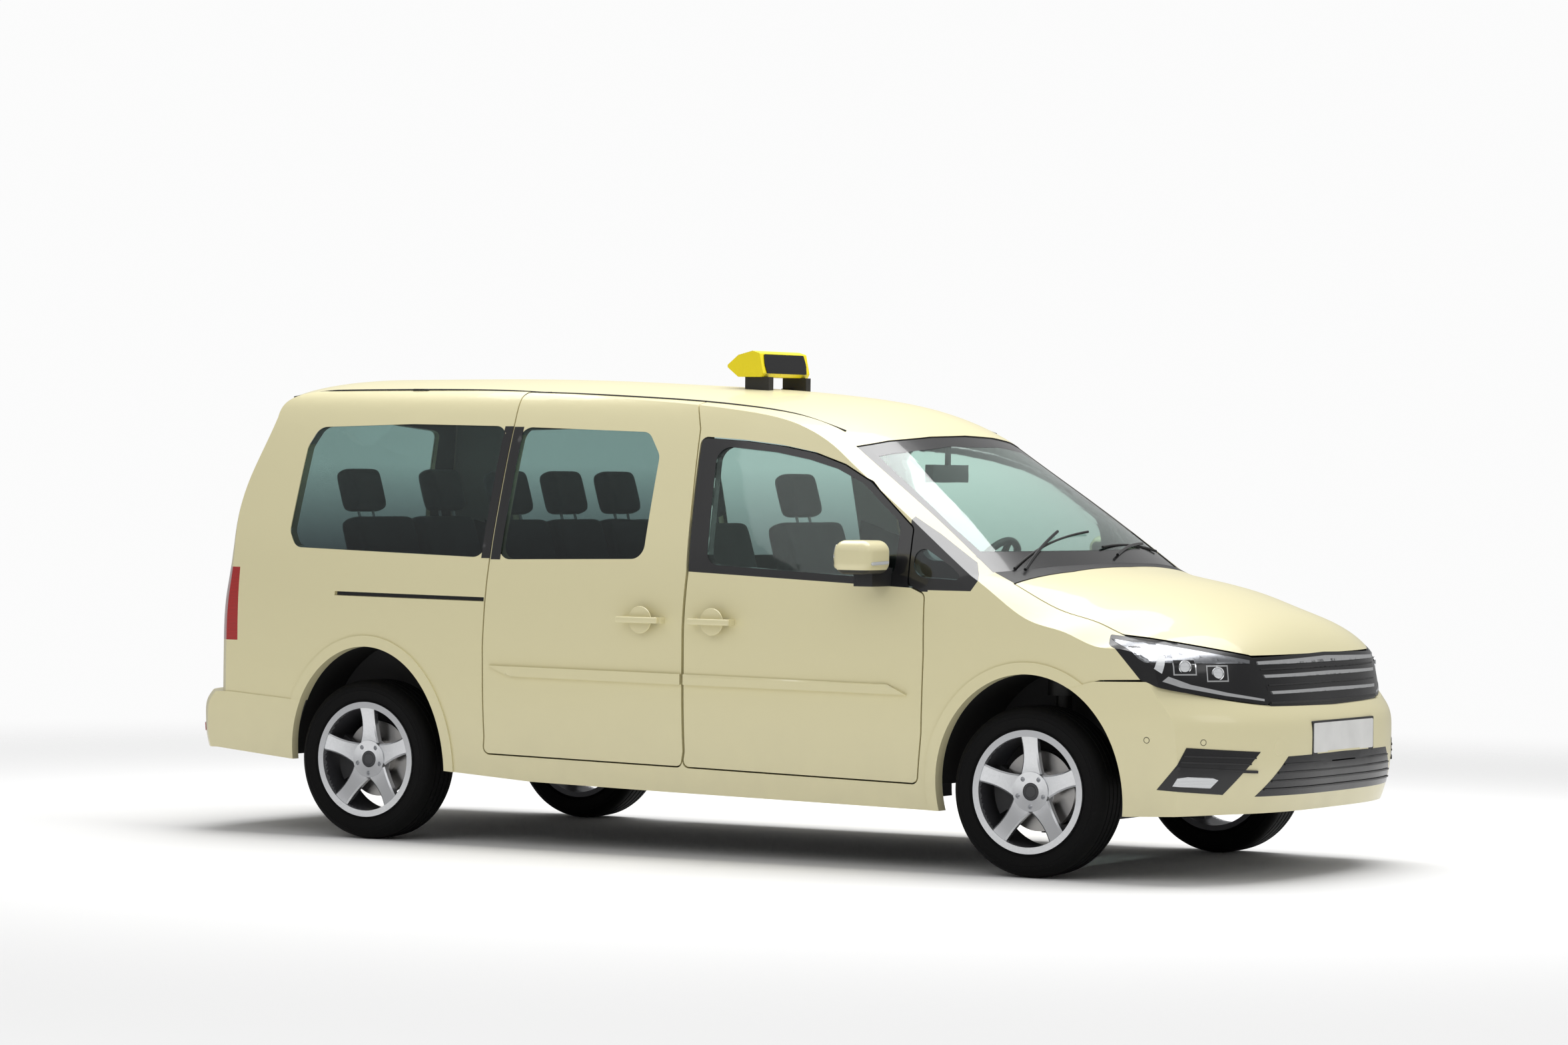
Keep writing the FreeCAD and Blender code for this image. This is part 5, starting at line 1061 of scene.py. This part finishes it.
for name, radius, look, points in GATE_RODS:
    hits = [(met_from_behind(gate_surface, y, z), lift) for y, z, lift in points]
    bent_rod(name, [(hit.x - lift, hit.y, hit.z) for hit, lift in hits], radius, look, "tailgate")

# Seats: crowned cushions with sewn channels
SEAM_PLACES = (-0.36, 0.36)
SEAM_WIDTH = 0.035
SEAM_DEPTH = 0.004
CHANNEL_FIRST = -0.3
CHANNEL_STEP = 0.6
CHANNEL_WIDTH = 0.05
CHANNEL_SHARE = 0.7
PAD_SHRINK = 1.2
PAD_SWELL = 0.55
LONG_EDGE = 0.09
LONG_EDGE_CUTS = 9


def pad_piece(name, low, high, axis, lean_deg, pivot, channels, crown=0.016, radius=0.034):
    """Stuffed pad: a rounded block that swells towards its middle, with channels sewn across its face."""
    low = Vector(low)
    high = Vector(high)
    size = high - low
    shape = bevelled_box(size - Vector((1, 1, 1)) * crown * PAD_SHRINK, radius)
    long_edges = [edge for edge in shape.edges if edge.calc_length() > LONG_EDGE]
    bmesh.ops.subdivide_edges(shape, edges=long_edges, cuts=LONG_EDGE_CUTS, use_grid_fill=True)
    shape.normal_update()
    other_axis = 2 - axis
    for vertex in shape.verts:
        u = vertex.co.y / (size.y / 2)
        v = vertex.co[other_axis] / (size[other_axis] / 2)
        swell = max(0.0, 1 - u * u) * max(0.0, 1 - v * v)
        groove = sum(math.exp(-((u - place) / SEAM_WIDTH) ** 2) for place in SEAM_PLACES)
        for index in range(channels):
            channel_place = CHANNEL_FIRST + CHANNEL_STEP * index
            groove += CHANNEL_SHARE * math.exp(-((v - channel_place) / CHANNEL_WIDTH) ** 2)
        sunk = SEAM_DEPTH * min(1.0, groove) * min(1.0, 4 * swell)
        vertex.co += vertex.normal * (crown * PAD_SWELL * swell - sunk)
    bmesh.ops.translate(shape, vec=(low + high) / 2, verts=shape.verts)
    if lean_deg:
        lean = Matrix.Rotation(math.radians(-lean_deg), 3, "Y")
        bmesh.ops.rotate(shape, cent=pivot, matrix=lean, verts=shape.verts)
    made = finish_piece(shape, name, ("seat_fabric", SEAT_CLOTH), angle_deg=60.0)
    smooth = made.modifiers.new("soft_surface", "SUBSURF")
    smooth.levels = 1
    smooth.render_levels = 1
    return made


SEAT_WIDTH = 0.51
SEAT_DEPTH = 0.5
CUSHION_REAR = 0.03
CUSHION_TOP = 0.79
CUSHION_THICK = 0.13
BACK_HEIGHT = 0.6
BACK_THICK = 0.12
BACK_LEAN_DEG = 16.0
REST_WIDTH = 0.25
REST_HEIGHT = 0.19
REST_THICK = 0.09
REST_SET_BACK = 0.012
REST_GAP = 0.011
POST_X = 0.06
POST_RADIUS = 0.006
SIDE_GAP = 0.004


def seat_row(name, x, y, width, rest_places, places, replaced):
    """Cushion and back for each place, then the head rests on their two posts."""
    pivot = Vector((x, 0.0, CUSHION_TOP - CUSHION_THICK / 2))
    share = width / places
    for index in range(places):
        near = y - width / 2 + index * share + SIDE_GAP
        far = y - width / 2 + (index + 1) * share - SIDE_GAP
        label = name + "_" + str(index + 1)
        pad_piece(label + "_cushion", (x + CUSHION_REAR, near, CUSHION_TOP - CUSHION_THICK),
                              (x + SEAT_DEPTH, far, CUSHION_TOP), 2, 0.0, pivot, 2)
        pad_piece(label + "_back", (x - BACK_THICK, near, pivot.z), (x, far, pivot.z + BACK_HEIGHT), 0,
                  BACK_LEAN_DEG, pivot, 3)
    base = pivot.z + BACK_HEIGHT
    lean = Matrix.Rotation(math.radians(-BACK_LEAN_DEG), 3, "Y")
    for index, place in enumerate(rest_places):
        label = name + "_head_rest_" + str(index + 1)
        middle = y + place
        pad_piece(label, (x - REST_THICK - REST_SET_BACK, middle - REST_WIDTH / 2, base + REST_GAP),
                  (x - REST_SET_BACK, middle + REST_WIDTH / 2, base + REST_GAP + REST_HEIGHT), 0,
                  BACK_LEAN_DEG, pivot, 0, 0.01, 0.03)
        for letter, post_y in (("a", middle - 0.05), ("b", middle + 0.05)):
            foot = Vector((x - POST_X, post_y, base - 0.03))
            top = Vector((x - POST_X, post_y, base + 0.04))
            ends = [pivot + lean @ (point - pivot) for point in (foot, (foot + top) / 2, top)]
            bent_rod(label + "_post_" + letter, ends, POST_RADIUS, PLATED)
    for node_name in replaced:
        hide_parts(node_name)


seat_row("driver_seat", 0.07, 0.372, SEAT_WIDTH, (0.0,), 1, ("front_seat_left",))
seat_row("passenger_seat", 0.07, -0.372, SEAT_WIDTH, (0.0,), 1, ("front_seat_right",))
seat_row("second_row", -0.83, 0.0, 1.18, (-0.401, 0.0, 0.401), 3, ("second_seat_row",))
seat_row("third_row", -1.64, 0.0, 0.892, (-0.29, 0.29), 2, ("third_seat_row",))

# Driver's place: instrument hood, screen, selector and vents
DRIVER_BLOCKS = (
    ("instrument_hood", (0.835, 0.215, 1.076), (0.985, 0.545, 1.128), 0.022, ("black_plastic", TRIM)),
    ("centre_screen", (0.868, -0.135, 1.0), (0.9, 0.135, 1.105), 0.008, SMOOTH),
    ("gear_selector", (0.76, 0.035, 0.88), (0.8, 0.08, 0.975), 0.016, SMOOTH),
)
VENT_PLACES = (-0.7, -0.24, 0.19, 0.7)
VENT_HALF = 0.055
for name, low, high, radius, look in DRIVER_BLOCKS:
    rounded_block(name, low, high, radius, look)
for number, y in enumerate(VENT_PLACES, 1):
    rounded_block("air_vent_" + str(number), (0.872, y - VENT_HALF, 0.955), (0.905, y + VENT_HALF, 1.01),
                  0.01, SMOOTH)

# Floor that fades into the backdrop
FLOOR_SIZE = 14.0
FADE_START = 3.6
FADE_END = 10.0
floor_mesh = bpy.data.meshes.new("studio_floor")
floor_shape = bmesh.new()
bmesh.ops.create_grid(floor_shape, x_segments=1, y_segments=1, size=FLOOR_SIZE)
floor_shape.to_mesh(floor_mesh)
floor_shape.free()
floor = in_scene("studio_floor", floor_mesh)
floor_material, floor_shader, floor_place = node_graph("pale_floor")
floor_graph = floor_material.node_tree
floor_look = {"Base Color": (0.9, 0.9, 0.9, 1), "Roughness": 0.9, "Specular IOR Level": 0.1}
feed(floor_shader, floor_look)
reach = add_node(floor_graph, "ShaderNodeVectorMath", {0: floor_place}, operation="LENGTH")
fade_inputs = {"Value": reach.outputs["Value"], "From Min": FADE_START, "From Max": FADE_END}
fade = add_node(floor_graph, "ShaderNodeMapRange", fade_inputs, interpolation_type="SMOOTHSTEP")
clear = add_node(floor_graph, "ShaderNodeBsdfTransparent", {})
floor_mix = add_node(floor_graph, "ShaderNodeMixShader",
                     {0: fade.outputs[0], 1: floor_shader.outputs[0], 2: clear.outputs[0]})
feed(floor_graph.nodes["Material Output"], {"Surface": floor_mix.outputs[0]})
floor.data.materials.append(floor_material)

# White backdrop for the camera and through glass, softer light on the car
world = bpy.data.worlds.new("studio")
bpy.context.scene.world = world
world.use_nodes = True
sky = world.node_tree
background = sky.nodes["Background"]
feed(background, {"Color": (1.0, 1.0, 1.0, 1), "Strength": 0.38})
shown = add_node(sky, "ShaderNodeBackground", {"Color": (0.97, 0.97, 0.97, 1), "Strength": 1.0})
rays = add_node(sky, "ShaderNodeLightPath", {}).outputs
seen = arithmetic("ADD", rays["Is Camera Ray"], rays["Is Transmission Ray"], clamp=True)
choose = add_node(sky, "ShaderNodeMixShader", {0: seen, 1: background.outputs[0], 2: shown.outputs[0]})
feed(sky.nodes["World Output"], {"Surface": choose.outputs[0]})


def soft_light(name, place, target, size, power):
    lamp = bpy.data.lights.new(name, "AREA")
    lamp.shape = "RECTANGLE"
    lamp.size, lamp.size_y = size
    lamp.energy = power
    made = in_scene(name, lamp)
    made.location = place
    made.rotation_mode = "QUATERNION"
    made.rotation_quaternion = (Vector(target) - Vector(place)).to_track_quat("-Z", "Y")


soft_light("overhead_panel", (0.0, 1.2, 6.5), (0.0, 0.0, 0.0), (9.0, 5.0), 650.0)
soft_light("near_side_panel", (1.0, -8.0, 6.5), (0.2, 0.0, 0.9), (13.0, 6.0), 190.0)
soft_light("front_panel", (9.0, -1.0, 5.0), (1.5, 0.0, 0.8), (3.0, 2.4), 40.0)

# Camera fitted to the photograph
CAMERA_PLACE = Vector((10.453996, -17.344168, 1.537075))
CAMERA_YAW = 2.1142116
CAMERA_PITCH = -0.0125032
CAMERA_ROLL = 0.0114006
CAMERA_LENS = 116.449
ahead = Vector((math.cos(CAMERA_YAW) * math.cos(CAMERA_PITCH), math.sin(CAMERA_YAW) * math.cos(CAMERA_PITCH),
                math.sin(CAMERA_PITCH)))
across = Vector((math.sin(CAMERA_YAW), -math.cos(CAMERA_YAW), 0.0))
upward = across.cross(ahead)
right = across * math.cos(CAMERA_ROLL) + upward * math.sin(CAMERA_ROLL)
above = upward * math.cos(CAMERA_ROLL) - across * math.sin(CAMERA_ROLL)
camera_data = bpy.data.cameras.new("photo_camera")
camera_data.lens = CAMERA_LENS
camera_data.sensor_width = 36.0
camera_data.clip_end = 200.0
camera = in_scene("photo_camera", camera_data)
camera.matrix_world = Matrix((
    (right.x, above.x, -ahead.x, CAMERA_PLACE.x),
    (right.y, above.y, -ahead.y, CAMERA_PLACE.y),
    (right.z, above.z, -ahead.z, CAMERA_PLACE.z),
    (0.0, 0.0, 0.0, 1.0),
))
bpy.context.scene.camera = camera
bpy.context.scene.view_settings.view_transform = "Standard"
